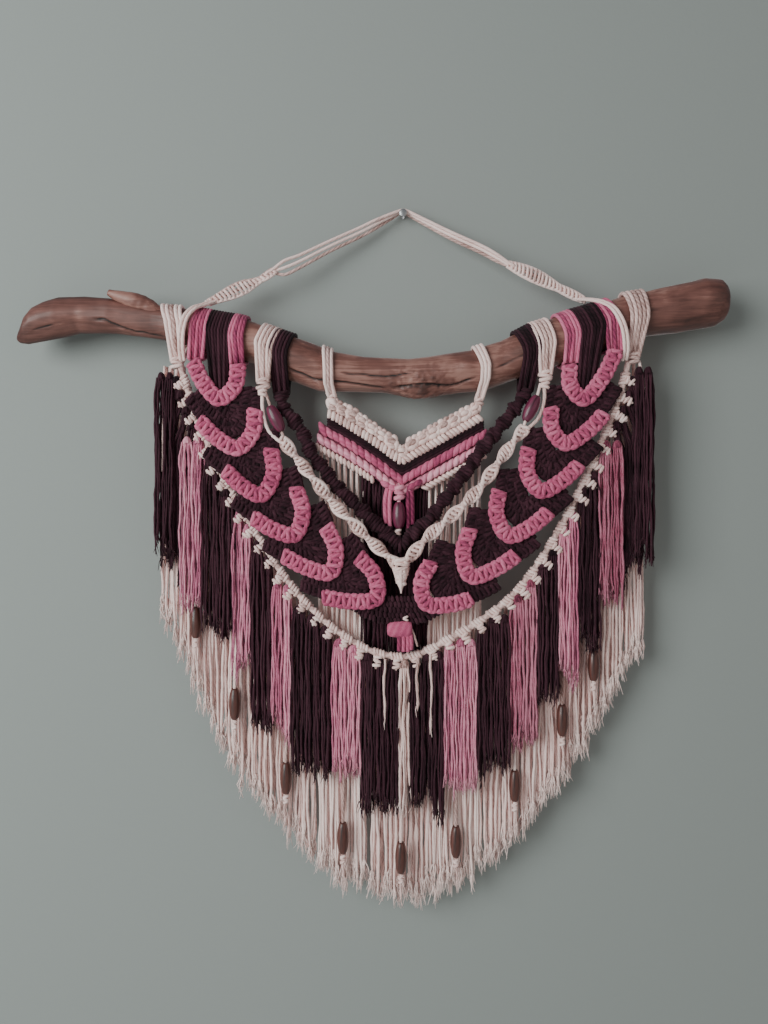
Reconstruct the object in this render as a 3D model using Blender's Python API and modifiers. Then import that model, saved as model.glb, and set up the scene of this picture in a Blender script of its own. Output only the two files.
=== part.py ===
"""Macrame wall hanging on a driftwood branch.

Lengths are in millimetres and are turned to metres where a mesh is made. The origin is the axis of
the nail at the wall. +X runs to the right, +Z up, and the front faces -Y, with the wall at Y = 0.
Flat nets of cord hang in layers, one in front of the other, and each layer has its own depth in Y.
"""
import math
from collections import namedtuple

import bmesh
import bpy
import numpy as np

MM = 0.001
GAP = 0.4
SLIVER = 0.01

# Depths (Y) of the layers, from the wall to the front.
CURTAIN_ROWS = (-35.0, -30.5, -26.0)
BRANCH_Y = -36.0
CHEVRON_Y = -39.6
BROWN_BEAD_Y = -41.2
CENTRE_BEAD_Y = -45.0
SWAG_Y = -48.0
TASSEL_ROWS = (-53.0, -48.5, -44.0)
CENTRE_STRAND_Y = -48.5
DARK_V_Y = -48.2
LEAF_Y = -58.5
SPIRAL_Y = -59.0

STRAND = 1.9
MOUNT_STRAND = 2.2
KNOT_STEP = 4.7
WRAP_STEPS = 4
SINNET_CUTS = 13
HEAD_HEIGHT = 14.0
FRINGE_PITCH = 5.2
TASSEL_PITCH = 4.6

# A place in the plane of the wall.
Point = namedtuple("Point", "x z")

Colour = namedtuple("Colour", "rgb roughness metallic")
CREAM = Colour((0.69, 0.60, 0.55), 0.85, 0.0)
ROSE = Colour((0.44, 0.11, 0.20), 0.85, 0.0)
PINK = Colour((0.66, 0.26, 0.36), 0.85, 0.0)
AUBERGINE = Colour((0.033, 0.012, 0.020), 0.85, 0.0)
DRIFTWOOD = Colour((0.20, 0.09, 0.07), 0.35, 0.0)
PLUM_WOOD = Colour((0.10, 0.012, 0.045), 0.3, 0.0)
BROWN_WOOD = Colour((0.07, 0.032, 0.022), 0.35, 0.0)
STEEL = Colour((0.60, 0.60, 0.62), 0.3, 1.0)

BranchSection = namedtuple("BranchSection", "x top bottom")
BRANCH = [
    BranchSection(-408, -129, -139),
    BranchSection(-393, -108, -146),
    BranchSection(-363, -101, -138),
    BranchSection(-300, -97, -136),
    BranchSection(-252, -105, -147),
    BranchSection(-162, -122, -167),
    BranchSection(-109, -138, -187),
    BranchSection(-60, -158, -196),
    BranchSection(-4, -161, -203),
    BranchSection(48, -156, -201),
    BranchSection(102, -143, -193),
    BranchSection(165, -114, -168),
    BranchSection(205, -101, -155),
    BranchSection(250, -93, -139),
    BranchSection(302, -80, -134),
    BranchSection(330, -79, -127),
    BranchSection(344, -91, -118),
]
BRANCH_SIDES = 12
BRANCH_CUTS = 27
LUMP = 0.035
LUMP_LENGTH = 37.0
LUMP_DRIFT = 61.0
# Points (x, y from the branch's middle, z) of the twig stub on top and of the burl below.
TWIG = [(-300, -3, -112), (-289, -6, -96), (-280, -8, -90)]
TWIG_RADII = [15, 9, 4]
BURL = [(12, 0, -190), (30, -1, -204), (46, 0, -192)]
BURL_RADII = [13, 11, 9]

# A leaf is a V of knots: the middle of its band runs from its outer end to its tip and inner end.
Leaf = namedtuple("Leaf", "outer_x outer_z tip_x tip_z inner_x inner_z")
LEAVES = {
    "left": [
        Leaf(-215, -171, -190, -206, -172, -175),
        Leaf(-210, -229, -174, -254, -155, -219),
        Leaf(-184, -281, -148, -303, -137, -262),
        Leaf(-154, -329, -115, -345, -112, -300),
        Leaf(-123, -368, -77, -384, -81, -340),
        Leaf(-82, -411, -30, -411, -46, -371),
    ],
    "right": [
        Leaf(217, -161, 185, -208, 173, -173),
        Leaf(206, -224, 168, -250, 151, -218),
        Leaf(179, -278, 142, -299, 128, -260),
        Leaf(147, -326, 109, -345, 98, -303),
        Leaf(113, -369, 70, -387, 68, -342),
        Leaf(66, -414, 24, -416, 29, -377),
    ],
}
LEAF_BOW = 4.5
LEAF_TIP_SWELL = 1.2
LEAF_END_TAPER = 0.8
LEAF_HALF_WIDTH = 7.6
LEAF_HALF_DEPTH = 4.4
DARK_LEAF_HALF_WIDTH = 14.5
DARK_LEAF_HALF_DEPTH = 3.4

# The aubergine bar and the pink folded tab, with its strands, where the two leaf chains meet.
JOIN = [Point(-54, -427), Point(-29, -437), Point(7, -437), Point(44, -430)]
JOIN_RADII = [3.2, 4.6, 4.6, 3.2]
TAB = [Point(-17, -449), Point(-8, -449), Point(0, -449), Point(8, -449)]
TAB_RADII = [6.2, 6.8, 6.8, 6.2]
TAB_STRANDS = (-5.2, 0.4, 5.7)
TAB_STRAND_RADII = [2.0, 1.6]
TAB_FOOT = -468

SWAG = [
    Point(-234, -170), Point(-205, -252), Point(-163, -332), Point(-111, -409), Point(-41, -466),
    Point(-2, -474), Point(32, -465), Point(117, -408), Point(177, -315), Point(215, -231),
    Point(235, -166),
]
SWAG_CUTS = 39
SWAG_RADII = (2.5, 3.4)
OUTER_KNOTS = {"left": Point(-236, -169), "right": Point(237, -164)}

SPIRAL_LEFT = [
    Point(-125, -249), Point(-107, -271), Point(-71, -317), Point(-31, -356), Point(-3, -384),
]
SPIRAL_RIGHT = [
    Point(125, -237), Point(98, -271), Point(64, -314), Point(27, -350), Point(-3, -380),
]
SPIRAL_TIP = [Point(-3, -380), Point(-3, -394), Point(-3, -406)]
SPIRAL_TIP_RADII = [5.5, 3.5, 1.5]
SPIRAL_RADII = (3.9, 6.4)
# Above each spiral sinnet one cord goes round the plum bead and one goes through it.
SPIRAL_KNOTS = {"left": Point(-145, -203), "right": Point(144, -193)}
ROUND_BEAD = {
    "left": [Point(-146, -208), Point(-143, -232), Point(-123, -251)],
    "right": [Point(145, -198), Point(143, -222), Point(123, -239)],
}
ROUND_RADIUS = 1.8
THROUGH_BEAD = {
    "left": [Point(-143, -206), Point(-132, -227), Point(-122, -249)],
    "right": [Point(142, -196), Point(130, -218), Point(122, -236)],
}
THROUGH_RADIUS = 1.6
DARK_V = [
    Point(-124, -204), Point(-119, -219), Point(-98, -260), Point(-68, -300), Point(-33, -334),
    Point(-4, -356), Point(27, -332), Point(54, -296), Point(85, -254), Point(111, -222),
    Point(126, -200),
]
DARK_V_CUTS = 37
DARK_V_RADII = (7.2, 8.6)
DARK_V_FLAT = 0.5

# The chevron's rows are copies of one V, each a drop below the middle of the band.
CHEVRON_APEX = Point(-2, -260.5)
CHEVRON_SLOPE_LEFT = 0.638
CHEVRON_SLOPE_RIGHT = 0.555
Row = namedtuple("Row", "name colour drop half_width left right ridges")
CHEVRON_ROWS = [
    Row("chevron_band", CREAM, 0.0, 10.0, -78, 80, 12),
    Row("chevron_dark_row", AUBERGINE, 17.5, 3.8, -80, 83, 8),
    Row("chevron_rose_row", ROSE, 28.5, 4.2, -88, 86, 12),
    Row("chevron_pink_row", PINK, 38.0, 3.2, -90, 86, 12),
    Row("chevron_cream_row_left", CREAM, 46.8, 2.9, -90, -34, 6),
    Row("chevron_cream_row_right", CREAM, 46.8, 2.9, 24, 82, 6),
]
CHEVRON_HALF_DEPTH = 3.9
CHEVRON_RIDGE = 0.86
BAND_MOUNT_INSET = 3
# The centre bead's cord: points (x, y, z) from the pink row, through the bead, to a knot below it.
BEAD_CORD = [
    (-3, CHEVRON_Y, -298), (-5, CENTRE_BEAD_Y, -312), (-5, CENTRE_BEAD_Y, -341),
    (-5, CENTRE_BEAD_Y, -343), (-5, CENTRE_BEAD_Y, -346),
]
BEAD_CORD_RADII = [1.9, 1.9, 1.9, 3.0, 1.5]

# A mount is a group of cords that share a knot and pass over the branch from first to last.
Mount = namedtuple("Mount", "first last count")
MOUNTS = {
    "outer_left": Mount(-247, -232, 3),
    "leaf_outer_left": Mount(-221, -209, 3),
    "leaf_dark_left": Mount(-202, -188, 3),
    "leaf_inner_left": Mount(-180, -168, 3),
    "spiral_left": Mount(-154, -142, 3),
    "dark_left": Mount(-134, -121, 3),
    "band_left": Mount(-85, -75, 2),
    "band_right": Mount(74, 84, 2),
    "dark_right": Mount(115, 127, 3),
    "spiral_right": Mount(136, 150, 3),
    "leaf_inner_right": Mount(163, 174, 3),
    "leaf_dark_right": Mount(181, 194, 3),
    "leaf_outer_right": Mount(201, 215, 3),
    "outer_right": Mount(234, 250, 3),
}
KNOT_REACH = 2.6
KNOT_RADII = (4.6, 5.2, 4.6)
KNOT_TILT = 0.3
CLEAR = 0.1

# The hanging cord: each leg's sinnet, then two cords that arc forward over the branch to its front.
# An arc's points are (x, y from the branch's middle, z).
SINNETS = {
    "left": [Point(-138, -68.5), Point(-207, -101.5)],
    "right": [Point(111, -60), Point(192, -94.5)],
}
SINNET_NECK = 3.4
SINNET_SWELL = 4.0
SINNET_RIDGE = 0.86
LEG_ENDS = {"left": Point(-146, -72.3), "right": Point(118, -63)}
LEG_SPREAD = (1.5, 1.6)
ARCS = {
    "left": [(-203, 0, -99.5), (-215, -16, -104), (-226, -29, -116), (-231, -33, -140), (-232, -25, -160)],
    "right": [(189, 0, -92.5), (205, -16, -89), (221, -35, -103.5), (229, -37, -130), (230, -27, -152)],
}
ARC_PITCH = {"left": 5, "right": -5}

Tassel = namedtuple("Tassel", "name colour left right head bottom")
TASSELS = [
    Tassel("tassel_01", AUBERGINE, -258, -240, -178, -364),
    Tassel("tassel_02", ROSE, -232, -209, -254, -421),
    Tassel("tassel_03", AUBERGINE, -208, -178, -266, -447),
    Tassel("tassel_04", ROSE, -177, -159, -327, -479),
    Tassel("tassel_05", AUBERGINE, -158, -138, -360, -541),
    Tassel("tassel_06", PINK, -137, -117, -405, -547),
    Tassel("tassel_07", AUBERGINE, -116, -75, -430, -594),
    Tassel("tassel_08", PINK, -74, -45, -465, -599),
    Tassel("tassel_09", AUBERGINE, -44, -5, -478, -630),
    Tassel("tassel_10", CREAM, -4, 6, -479, -700),
    Tassel("tassel_11", AUBERGINE, 7, 42, -478, -630),
    Tassel("tassel_12", PINK, 43, 76, -465, -609),
    Tassel("tassel_13", AUBERGINE, 77, 111, -440, -594),
    Tassel("tassel_14", ROSE, 112, 139, -400, -557),
    Tassel("tassel_15", AUBERGINE, 140, 162, -370, -520),
    Tassel("tassel_16", PINK, 163, 182, -332, -491),
    Tassel("tassel_17", AUBERGINE, 183, 204, -290, -458),
    Tassel("tassel_18", ROSE, 205, 229, -258, -421),
    Tassel("tassel_19", AUBERGINE, 241, 260, -172, -374),
]

HEAD_GAP = 1.0
HEAD_CROWN = 1.6
HEAD_RIB = 0.8
TASSEL_UNEVEN = 6.0
CENTRE_TASSEL = "tassel_10"
CENTRE_FOOT = -612.0

# The lower edge of the long cream fringe.
FRINGE_EDGE = [
    Point(-262, -434), Point(-228, -503), Point(-174, -610), Point(-110, -684), Point(-73, -732),
    Point(28, -740), Point(92, -706), Point(167, -620), Point(210, -551), Point(256, -470),
]
BROWN_BEADS = [
    Point(-219, -440), Point(-178, -526), Point(-124, -604), Point(-64, -667), Point(-3, -685),
    Point(55, -671), Point(117, -612), Point(167, -543), Point(200, -485),
]
BROWN_BEAD_RADIUS = 5.8
BROWN_BEAD_LENGTH = 33.0
PLUM_BEAD_RADIUS = 6.3
PLUM_BEAD_LENGTH = 29.0
CENTRE_BEAD_RADIUS = 7.0
CENTRE_BEAD_LENGTH = 26.0
BORE_RADIUS = 2.9
BEAD_STEPS = 8
BEAD_CUTS = 5
BEAD_ARC = 0.42
BEAD_RIM = 0.6
BeadPlace = namedtuple("BeadPlace", "name x y z radius length tilt")
PLUM_TILT = math.atan2(14, 28)
PLUM_BEADS = [
    BeadPlace("plum_bead_left", -132.5, SPIRAL_Y, -227.5, PLUM_BEAD_RADIUS, PLUM_BEAD_LENGTH, -PLUM_TILT),
    BeadPlace("plum_bead_right", 131.5, SPIRAL_Y, -217, PLUM_BEAD_RADIUS, PLUM_BEAD_LENGTH, PLUM_TILT),
    BeadPlace("plum_bead_centre", -5, CENTRE_BEAD_Y, -327, CENTRE_BEAD_RADIUS, CENTRE_BEAD_LENGTH, 0.0),
]
# A beaded strand: how far it stays behind the others, and its drop and width below the bead's end.
STRAND_STRAIGHT = 20.0
STRAND_FORWARD = 90.0
BEAD_LEAD = 6.0
STRAND_TAPER = 0.85
STRAND_MIDDLE = 0.84
STRAND_END = 0.6
SWAY = 0.35
SWAY_COLUMN = 2.7
UNEVEN_COLUMN = 5.3
UNEVEN_ROW = 2.1
BEAD_SHARE = 0.6
BEAD_KNOT = [(2, 0.6), (4, 1.35), (8, 1.35), (10, 0.6), (26, 0.75)]

# A fringe hangs from one line to another; its strands' ends are uneven by the last value.
Fringe = namedtuple("Fringe", "name colour left right above below beads uneven")
FRINGES = [
    Fringe("fringe_outer_left", CREAM, -256, -92, "swag", "edge", BROWN_BEADS[0:3], 9.0),
    Fringe("fringe_centre_left", CREAM, -90.5, -35, "chevron", "edge", BROWN_BEADS[3:4], 9.0),
    Fringe("dark_curtain", AUBERGINE, -34, 24.5, "chevron", "above_swag", [], 2.0),
    Fringe("fringe_middle", CREAM, -34, 24.5, "swag", "edge", [], 9.0),
    Fringe("fringe_centre_right", CREAM, 25.5, 84, "chevron", "edge", BROWN_BEADS[5:6], 9.0),
    Fringe("fringe_outer_right", CREAM, 85.5, 252, "swag", "edge", BROWN_BEADS[6:9], 9.0),
]
STRIP_HEIGHT = 5.0
STRIP_RISE = 1.0
ROW_RISE = 2.0
CURTAIN_LIFT = 7.0

NAIL_RADIUS = 1.5
NAIL_LENGTH = 16.0
NAIL_HEAD_RADIUS = 4.2
NAIL_HEAD_DEPTH = 1.5
NAIL_CORDS_Y = -8.6
NAIL_CORDS_PITCH = 4.2
# The cords' path over the nail: points (x, z).
OVER_NAIL = [Point(-6, 1.6), Point(0, 4.2), Point(6, 1.6)]


def clear_scene():
    """Remove what a new Blender file holds."""
    for thing in list(bpy.data.objects):
        bpy.data.objects.remove(thing)


def make_material(name, colour):
    """Principled material with one colour."""
    material = bpy.data.materials.new(name)
    material.use_nodes = True
    shader = material.node_tree.nodes["Principled BSDF"]
    shader.inputs["Base Color"].default_value = (*colour.rgb, 1.0)
    shader.inputs["Roughness"].default_value = colour.roughness
    shader.inputs["Metallic"].default_value = colour.metallic
    return material


def finish(thing, name, colour):
    """Name a finished sub-part and give it its material."""
    thing.name = name
    thing.data.name = name
    thing.data.materials.clear()
    thing.data.materials.append(make_material(name, colour))
    return thing


def add_mesh(mesh):
    """Object in the hanging's collection that holds the mesh."""
    thing = bpy.data.objects.new("piece", mesh)
    bpy.data.collections["macrame_wall_hanging"].objects.link(thing)
    return thing


def smooth_path(points, count):
    """Evenly spaced points on a Catmull-Rom curve through the given points."""
    nodes = np.array(points, dtype=float)
    padded = np.vstack([2 * nodes[0] - nodes[1], nodes, 2 * nodes[-1] - nodes[-2]])
    spot = np.linspace(0, len(nodes) - 1, 24 * (len(nodes) - 1) + 1)
    leg = np.minimum(spot.astype(int), len(nodes) - 2)
    t = (spot - leg)[:, None]
    a, b, c, d = (padded[leg + k] for k in range(4))
    fine = 0.5 * (2 * b + (c - a) * t + (2 * a - 5 * b + 4 * c - d) * t**2
                  + (3 * b - a - 3 * c + d) * t**3)
    return even_path(fine, count)


def even_path(points, count):
    """Evenly spaced points on the straight legs between the given points."""
    nodes = np.array(points, dtype=float)
    steps = np.linalg.norm(np.diff(nodes, axis=0), axis=1)
    travel = np.concatenate([[0.0], np.cumsum(steps)])
    even = np.linspace(0.0, travel[-1], count)
    return np.stack([np.interp(even, travel, nodes[:, k]) for k in range(nodes.shape[1])], axis=1)


def at_depth(points, y):
    """Points (x, z) as points (x, y, z) in the layer at depth y."""
    flat = np.array(points, dtype=float)
    return np.stack([flat[:, 0], np.full(len(flat), y), flat[:, 1]], axis=1)


def from_branch(points):
    """Points whose y is given from the branch's middle, as points from the wall."""
    return [(x, BRANCH_Y + y, z) for x, y, z in points]


def ridged(count, low, high):
    """Radii that rise to a ridge at every second point."""
    return np.where(np.arange(count) % 2 == 1, high, low)


def tube(points, radii, sides=6, flatten=1.0):
    """Closed tube along a path, made flat in Y by a factor about its first point."""
    curve = bpy.data.curves.new("path", "CURVE")
    curve.dimensions = "3D"
    curve.bevel_depth = MM
    curve.bevel_resolution = (sides - 4) // 2
    curve.use_fill_caps = True
    spline = curve.splines.new("POLY")
    spline.points.add(len(points) - 1)
    for knot, place, radius in zip(spline.points, points, np.broadcast_to(radii, len(points))):
        knot.co = (*(np.array(place) * MM), 1.0)
        knot.radius = radius
    guide = add_mesh(curve)
    evaluated = guide.evaluated_get(bpy.context.evaluated_depsgraph_get())
    mesh = bpy.data.meshes.new_from_object(evaluated)
    shape = bmesh.new()
    shape.from_mesh(mesh)
    bmesh.ops.remove_doubles(shape, verts=shape.verts, dist=1e-6)
    middle = points[0][1] * MM
    if flatten != 1.0:
        for vert in shape.verts:
            vert.co.y = middle + (vert.co.y - middle) * flatten
    shape.to_mesh(mesh)
    shape.free()
    piece = add_mesh(mesh)
    piece.matrix_world = guide.matrix_world
    bpy.data.objects.remove(guide)
    bpy.data.curves.remove(curve)
    return piece


def fuse(pieces):
    """One closed body from pieces that run into each other."""
    body = pieces[0]
    for piece in pieces[1:]:
        union = body.modifiers.new("union", "BOOLEAN")
        union.operation = "UNION"
        union.solver = "EXACT"
        union.use_self = True
        union.object = piece
        evaluated = body.evaluated_get(bpy.context.evaluated_depsgraph_get())
        mesh = bpy.data.meshes.new_from_object(evaluated)
        drop_slivers(mesh)
        body.modifiers.clear()
        body.data = mesh
        bpy.data.objects.remove(piece)
    return body


def drop_slivers(mesh):
    """Dissolve edges and faces that a union leaves with almost no size."""
    shape = bmesh.new()
    shape.from_mesh(mesh)
    bmesh.ops.dissolve_degenerate(shape, edges=shape.edges, dist=SLIVER * MM)
    shape.to_mesh(mesh)
    shape.free()


def branch_at(x):
    """Height of the branch's middle and its radius at x."""
    xs = [section.x for section in BRANCH]
    top = np.interp(x, xs, [section.top for section in BRANCH])
    bottom = np.interp(x, xs, [section.bottom for section in BRANCH])
    return (top + bottom) / 2, (top - bottom) / 2


def lofted(rings):
    """Closed body through rings of points, each ring with the same count."""
    shape = bmesh.new()
    loops = [[shape.verts.new(np.array(point) * MM) for point in ring] for ring in rings]
    for near, far in zip(loops, loops[1:]):
        for k in range(len(near)):
            after = (k + 1) % len(near)
            shape.faces.new((near[k], near[after], far[after], far[k]))
    shape.faces.new(loops[0])
    shape.faces.new(loops[-1])
    bmesh.ops.recalc_face_normals(shape, faces=shape.faces)
    mesh = bpy.data.meshes.new("loft")
    shape.to_mesh(mesh)
    shape.free()
    return add_mesh(mesh)


def build_branch():
    """Driftwood branch: a loft of lumpy sections, a twig stub on top and a burl below."""
    rings = []
    turns = np.linspace(0.0, 2 * math.pi, BRANCH_SIDES, endpoint=False)
    for x in np.linspace(BRANCH[0].x, BRANCH[-1].x, BRANCH_CUTS):
        middle, radius = branch_at(x)
        swell = 1 + LUMP * np.sin(3 * turns + x / LUMP_LENGTH) * np.sin(x / LUMP_DRIFT + turns)
        rings.append([(x, BRANCH_Y - radius * s * math.cos(a), middle + radius * s * math.sin(a))
                      for a, s in zip(turns, swell)])
    trunk = lofted(rings)
    twig = tube(from_branch(TWIG), TWIG_RADII, 8)
    burl = tube(from_branch(BURL), BURL_RADII, 8)
    return finish(fuse([trunk, twig, burl]), "driftwood_branch", DRIFTWOOD)


def round_bar(radius, depth, y):
    """Round bar along Y whose front end is at y."""
    shape = bmesh.new()
    bmesh.ops.create_cone(shape, cap_ends=True, segments=12, radius1=radius * MM,
                          radius2=radius * MM, depth=depth * MM)
    mesh = bpy.data.meshes.new("bar")
    shape.to_mesh(mesh)
    shape.free()
    piece = add_mesh(mesh)
    piece.rotation_euler.x = math.pi / 2
    piece.location.y = (y + depth / 2) * MM
    return piece


def build_nail():
    """Steel nail, cut off plainly at the wall's face."""
    shank = round_bar(NAIL_RADIUS, NAIL_LENGTH, -NAIL_LENGTH)
    head = round_bar(NAIL_HEAD_RADIUS, NAIL_HEAD_DEPTH, -NAIL_LENGTH - NAIL_HEAD_DEPTH / 2)
    bpy.context.view_layer.update()
    return finish(fuse([shank, head]), "nail", STEEL)


def over_branch(x, knot, strand):
    """Path of a cord from its knot up the front, round the branch and down the back to the knot."""
    middle, girth = branch_at(x)
    radius = girth * (1 + LUMP) + GAP + strand
    forward, below = BRANCH_Y - knot[1], knot[2] - middle
    lean = math.atan2(below, forward)
    touch = math.acos(min(1.0, radius / math.hypot(forward, below)))
    angles = np.linspace(lean + touch, lean - touch + 2 * math.pi, WRAP_STEPS + 1)
    outer = radius / math.cos((angles[1] - angles[0]) / 2)
    ring = [(x, BRANCH_Y - outer * math.cos(a), middle + outer * math.sin(a)) for a in angles]
    front = (knot[0], knot[1] - strand - CLEAR, knot[2])
    back = (knot[0], knot[1] + strand + CLEAR, knot[2] + KNOT_TILT)
    return [front, *ring, back]


def mount_cords(name, knot):
    """Gathering knot of one mount and its cords, which enter the knot side by side."""
    mount = MOUNTS[name]
    x, y, z = knot
    reach = KNOT_STEP * (mount.count - 1) / 2
    side = reach + KNOT_REACH
    gather = tube([(x - side, y, z + KNOT_TILT), (x, y, z), (x + side, y, z - KNOT_TILT)], KNOT_RADII)
    pieces = [gather]
    for k, above in enumerate(np.linspace(mount.first, mount.last, mount.count)):
        end = (x - reach + KNOT_STEP * k, y, z + 0.2 * k)
        pieces.append(tube(over_branch(above, end, MOUNT_STRAND), MOUNT_STRAND, 4))
    return pieces


def build_hanging_cord():
    """Three strands over the nail, a half-knot sinnet on each leg, and two cords over the branch."""
    strands = []
    for k in (-1, 0, 1):
        y = NAIL_CORDS_Y + NAIL_CORDS_PITCH * k
        left, right = ((end.x, BRANCH_Y + 2 + LEG_SPREAD[0] * k, end.z + LEG_SPREAD[1] * k)
                       for end in LEG_ENDS.values())
        path = [left, *at_depth(OVER_NAIL, y), right]
        strands.append(tube(path, STRAND))
    sinnets = []
    for ends in SINNETS.values():
        path = even_path(at_depth(ends, BRANCH_Y + 1), SINNET_CUTS)
        swell = SINNET_NECK + SINNET_SWELL * np.sin(np.linspace(0, math.pi, SINNET_CUTS)) ** 0.8
        sinnets.append(tube(path, swell * ridged(SINNET_CUTS, SINNET_RIDGE, 1.0)))
    arcs = []
    for k in (0, 1):
        for side, arc in ARCS.items():
            shifted = [(x + ARC_PITCH[side] * k, y, z) for x, y, z in from_branch(arc)]
            arcs.append(tube(shifted, STRAND))
    return finish(fuse([sinnets[0], *strands, sinnets[1], *arcs]), "hanging_cord", CREAM)


def bowed(first, last, count, away):
    """Points from first to last on an arc that bows away from a third point."""
    chord = last - first
    normal = np.array((-chord[1], chord[0])) / np.linalg.norm(chord)
    if normal @ (first + chord / 2 - away) < 0:
        normal = -normal
    t = np.linspace(0.0, 1.0, count + 1)[:, None]
    return first + chord * t + normal * LEAF_BOW * 4 * t * (1 - t)


def leaf_bar(leaf, half_width, half_depth, per_arm, ridge):
    """Bar of knots along one U, a little narrower at its two ends."""
    outer = np.array((leaf.outer_x, leaf.outer_z), dtype=float)
    tip = np.array((leaf.tip_x, leaf.tip_z), dtype=float)
    inner = np.array((leaf.inner_x, leaf.inner_z), dtype=float)
    arms = np.vstack([bowed(outer, tip, per_arm, inner), bowed(tip, inner, per_arm, outer)[1:]])
    radii = half_width * ridged(len(arms), 1 - ridge, 1.0)
    radii[[0, -1]] *= LEAF_END_TAPER
    radii[per_arm] = half_width * LEAF_TIP_SWELL
    return tube(at_depth(arms, LEAF_Y), radii, 6, half_depth / half_width)


def between(first, second):
    """Leaf halfway between two leaves."""
    return Leaf(*((a + b) / 2 for a, b in zip(first, second)))


def build_leaf_chain(side):
    """Nested pink leaves with aubergine ones between them, and their mounts on the branch."""
    leaves = LEAVES[side]
    bars = [leaf_bar(leaf, LEAF_HALF_WIDTH, LEAF_HALF_DEPTH, 3, 0.14) for leaf in leaves]
    darks = [leaf_bar(between(first, second), DARK_LEAF_HALF_WIDTH, DARK_LEAF_HALF_DEPTH, 2, 0.0)
             for first, second in zip(leaves, leaves[1:])]
    top = leaves[0]
    cords = mount_cords(f"leaf_outer_{side}", (top.outer_x, LEAF_Y, top.outer_z + 1))
    cords += mount_cords(f"leaf_dark_{side}", (top.tip_x, LEAF_Y, top.tip_z + 6))
    cords += mount_cords(f"leaf_inner_{side}", (top.inner_x, LEAF_Y, top.inner_z + 1))
    chain = [bars[0]]
    for dark, bar in zip(darks, bars[1:]):
        chain += [dark, bar]
    return finish(fuse(chain + cords), f"leaf_chain_{side}", ROSE)


def bead(place, colour):
    """Oval bead with a bore, turned about its own axis and then tilted in the plane of the wall."""
    angles = np.linspace(BEAD_ARC * math.pi, -BEAD_ARC * math.pi, BEAD_CUTS)
    heights = place.length / 2 * np.sin(angles) / math.sin(angles[0])
    widths = np.maximum(place.radius * np.cos(angles), BORE_RADIUS + BEAD_RIM)
    bore = [(BORE_RADIUS, heights[-1]), (BORE_RADIUS, heights[0])]
    profile = [*zip(widths, heights), *bore]
    mesh = bpy.data.meshes.new(place.name)
    edges = [(k, (k + 1) % len(profile)) for k in range(len(profile))]
    mesh.from_pydata([(r * MM, 0.0, z * MM) for r, z in profile], edges, [])
    thing = add_mesh(mesh)
    turn = thing.modifiers.new("turn", "SCREW")
    turn.steps = BEAD_STEPS
    turn.render_steps = BEAD_STEPS
    turn.use_merge_vertices = True
    turn.merge_threshold = 1e-5
    thing.location = (place.x * MM, place.y * MM, place.z * MM)
    thing.rotation_euler.y = place.tilt
    return finish(thing, place.name, colour)


def build_spiral_v():
    """Two cream spiral sinnets that meet in a V, with their beads' cords and mounts."""
    left = smooth_path(SPIRAL_LEFT, 15)
    right = smooth_path(SPIRAL_RIGHT, 17)
    pieces = [tube(at_depth(left, SPIRAL_Y), ridged(15, *SPIRAL_RADII)),
              tube(at_depth(right, SPIRAL_Y), ridged(17, *SPIRAL_RADII)),
              tube(at_depth(SPIRAL_TIP, SPIRAL_Y), SPIRAL_TIP_RADII)]
    for side, knot in SPIRAL_KNOTS.items():
        pieces.append(tube(at_depth(smooth_path(ROUND_BEAD[side], 6), SPIRAL_Y), ROUND_RADIUS))
        pieces.append(tube(at_depth(THROUGH_BEAD[side], SPIRAL_Y), THROUGH_RADIUS, 4))
        pieces += mount_cords(f"spiral_{side}", (knot.x, SPIRAL_Y, knot.z))
    return finish(fuse(pieces), "spiral_v", CREAM)


def build_dark_v():
    """Aubergine sinnets that meet in a V behind the cream one."""
    path = smooth_path(DARK_V, DARK_V_CUTS)
    pieces = [tube(at_depth(path, DARK_V_Y), ridged(DARK_V_CUTS, *DARK_V_RADII), 6, DARK_V_FLAT)]
    pieces += mount_cords("dark_left", (DARK_V[0].x, DARK_V_Y, DARK_V[0].z))
    pieces += mount_cords("dark_right", (DARK_V[-1].x, DARK_V_Y, DARK_V[-1].z))
    return finish(fuse(pieces), "dark_v", AUBERGINE)


def chevron_z(x, drop):
    """Height at x of the chevron row that lies a drop below the middle of the band."""
    slope = CHEVRON_SLOPE_LEFT if x < CHEVRON_APEX.x else CHEVRON_SLOPE_RIGHT
    return CHEVRON_APEX.z - drop + abs(x - CHEVRON_APEX.x) * slope


def chevron_row(row):
    """Ridged bar of one row of knots."""
    left = (row.left, chevron_z(row.left, row.drop))
    right = (row.right, chevron_z(row.right, row.drop))
    if row.left < CHEVRON_APEX.x < row.right:
        middle = (CHEVRON_APEX.x, CHEVRON_APEX.z - row.drop)
        arm = row.ridges // 2
        path = np.vstack([np.linspace(left, middle, arm + 1), np.linspace(middle, right, arm + 1)[1:]])
    else:
        path = np.linspace(left, right, row.ridges + 1)
    radii = row.half_width * ridged(len(path), CHEVRON_RIDGE, 1.0)
    return tube(at_depth(path, CHEVRON_Y), radii, 6, min(1.0, CHEVRON_HALF_DEPTH / row.half_width))


def build_chevron():
    """Rows of the central chevron; the band carries the mounts, the pink row the bead's cord."""
    things = []
    for row in CHEVRON_ROWS:
        pieces = [chevron_row(row)]
        if row.name == "chevron_band":
            ends = {"left": row.left + BAND_MOUNT_INSET, "right": row.right - BAND_MOUNT_INSET}
            for side, x in ends.items():
                knot = (x, CHEVRON_Y, chevron_z(x, 0))
                pieces += mount_cords(f"band_{side}", knot)
        if row.name == "chevron_pink_row":
            pieces.append(tube(BEAD_CORD, BEAD_CORD_RADII))
        things.append(finish(fuse(pieces), row.name, row.colour))
    return things


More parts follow.
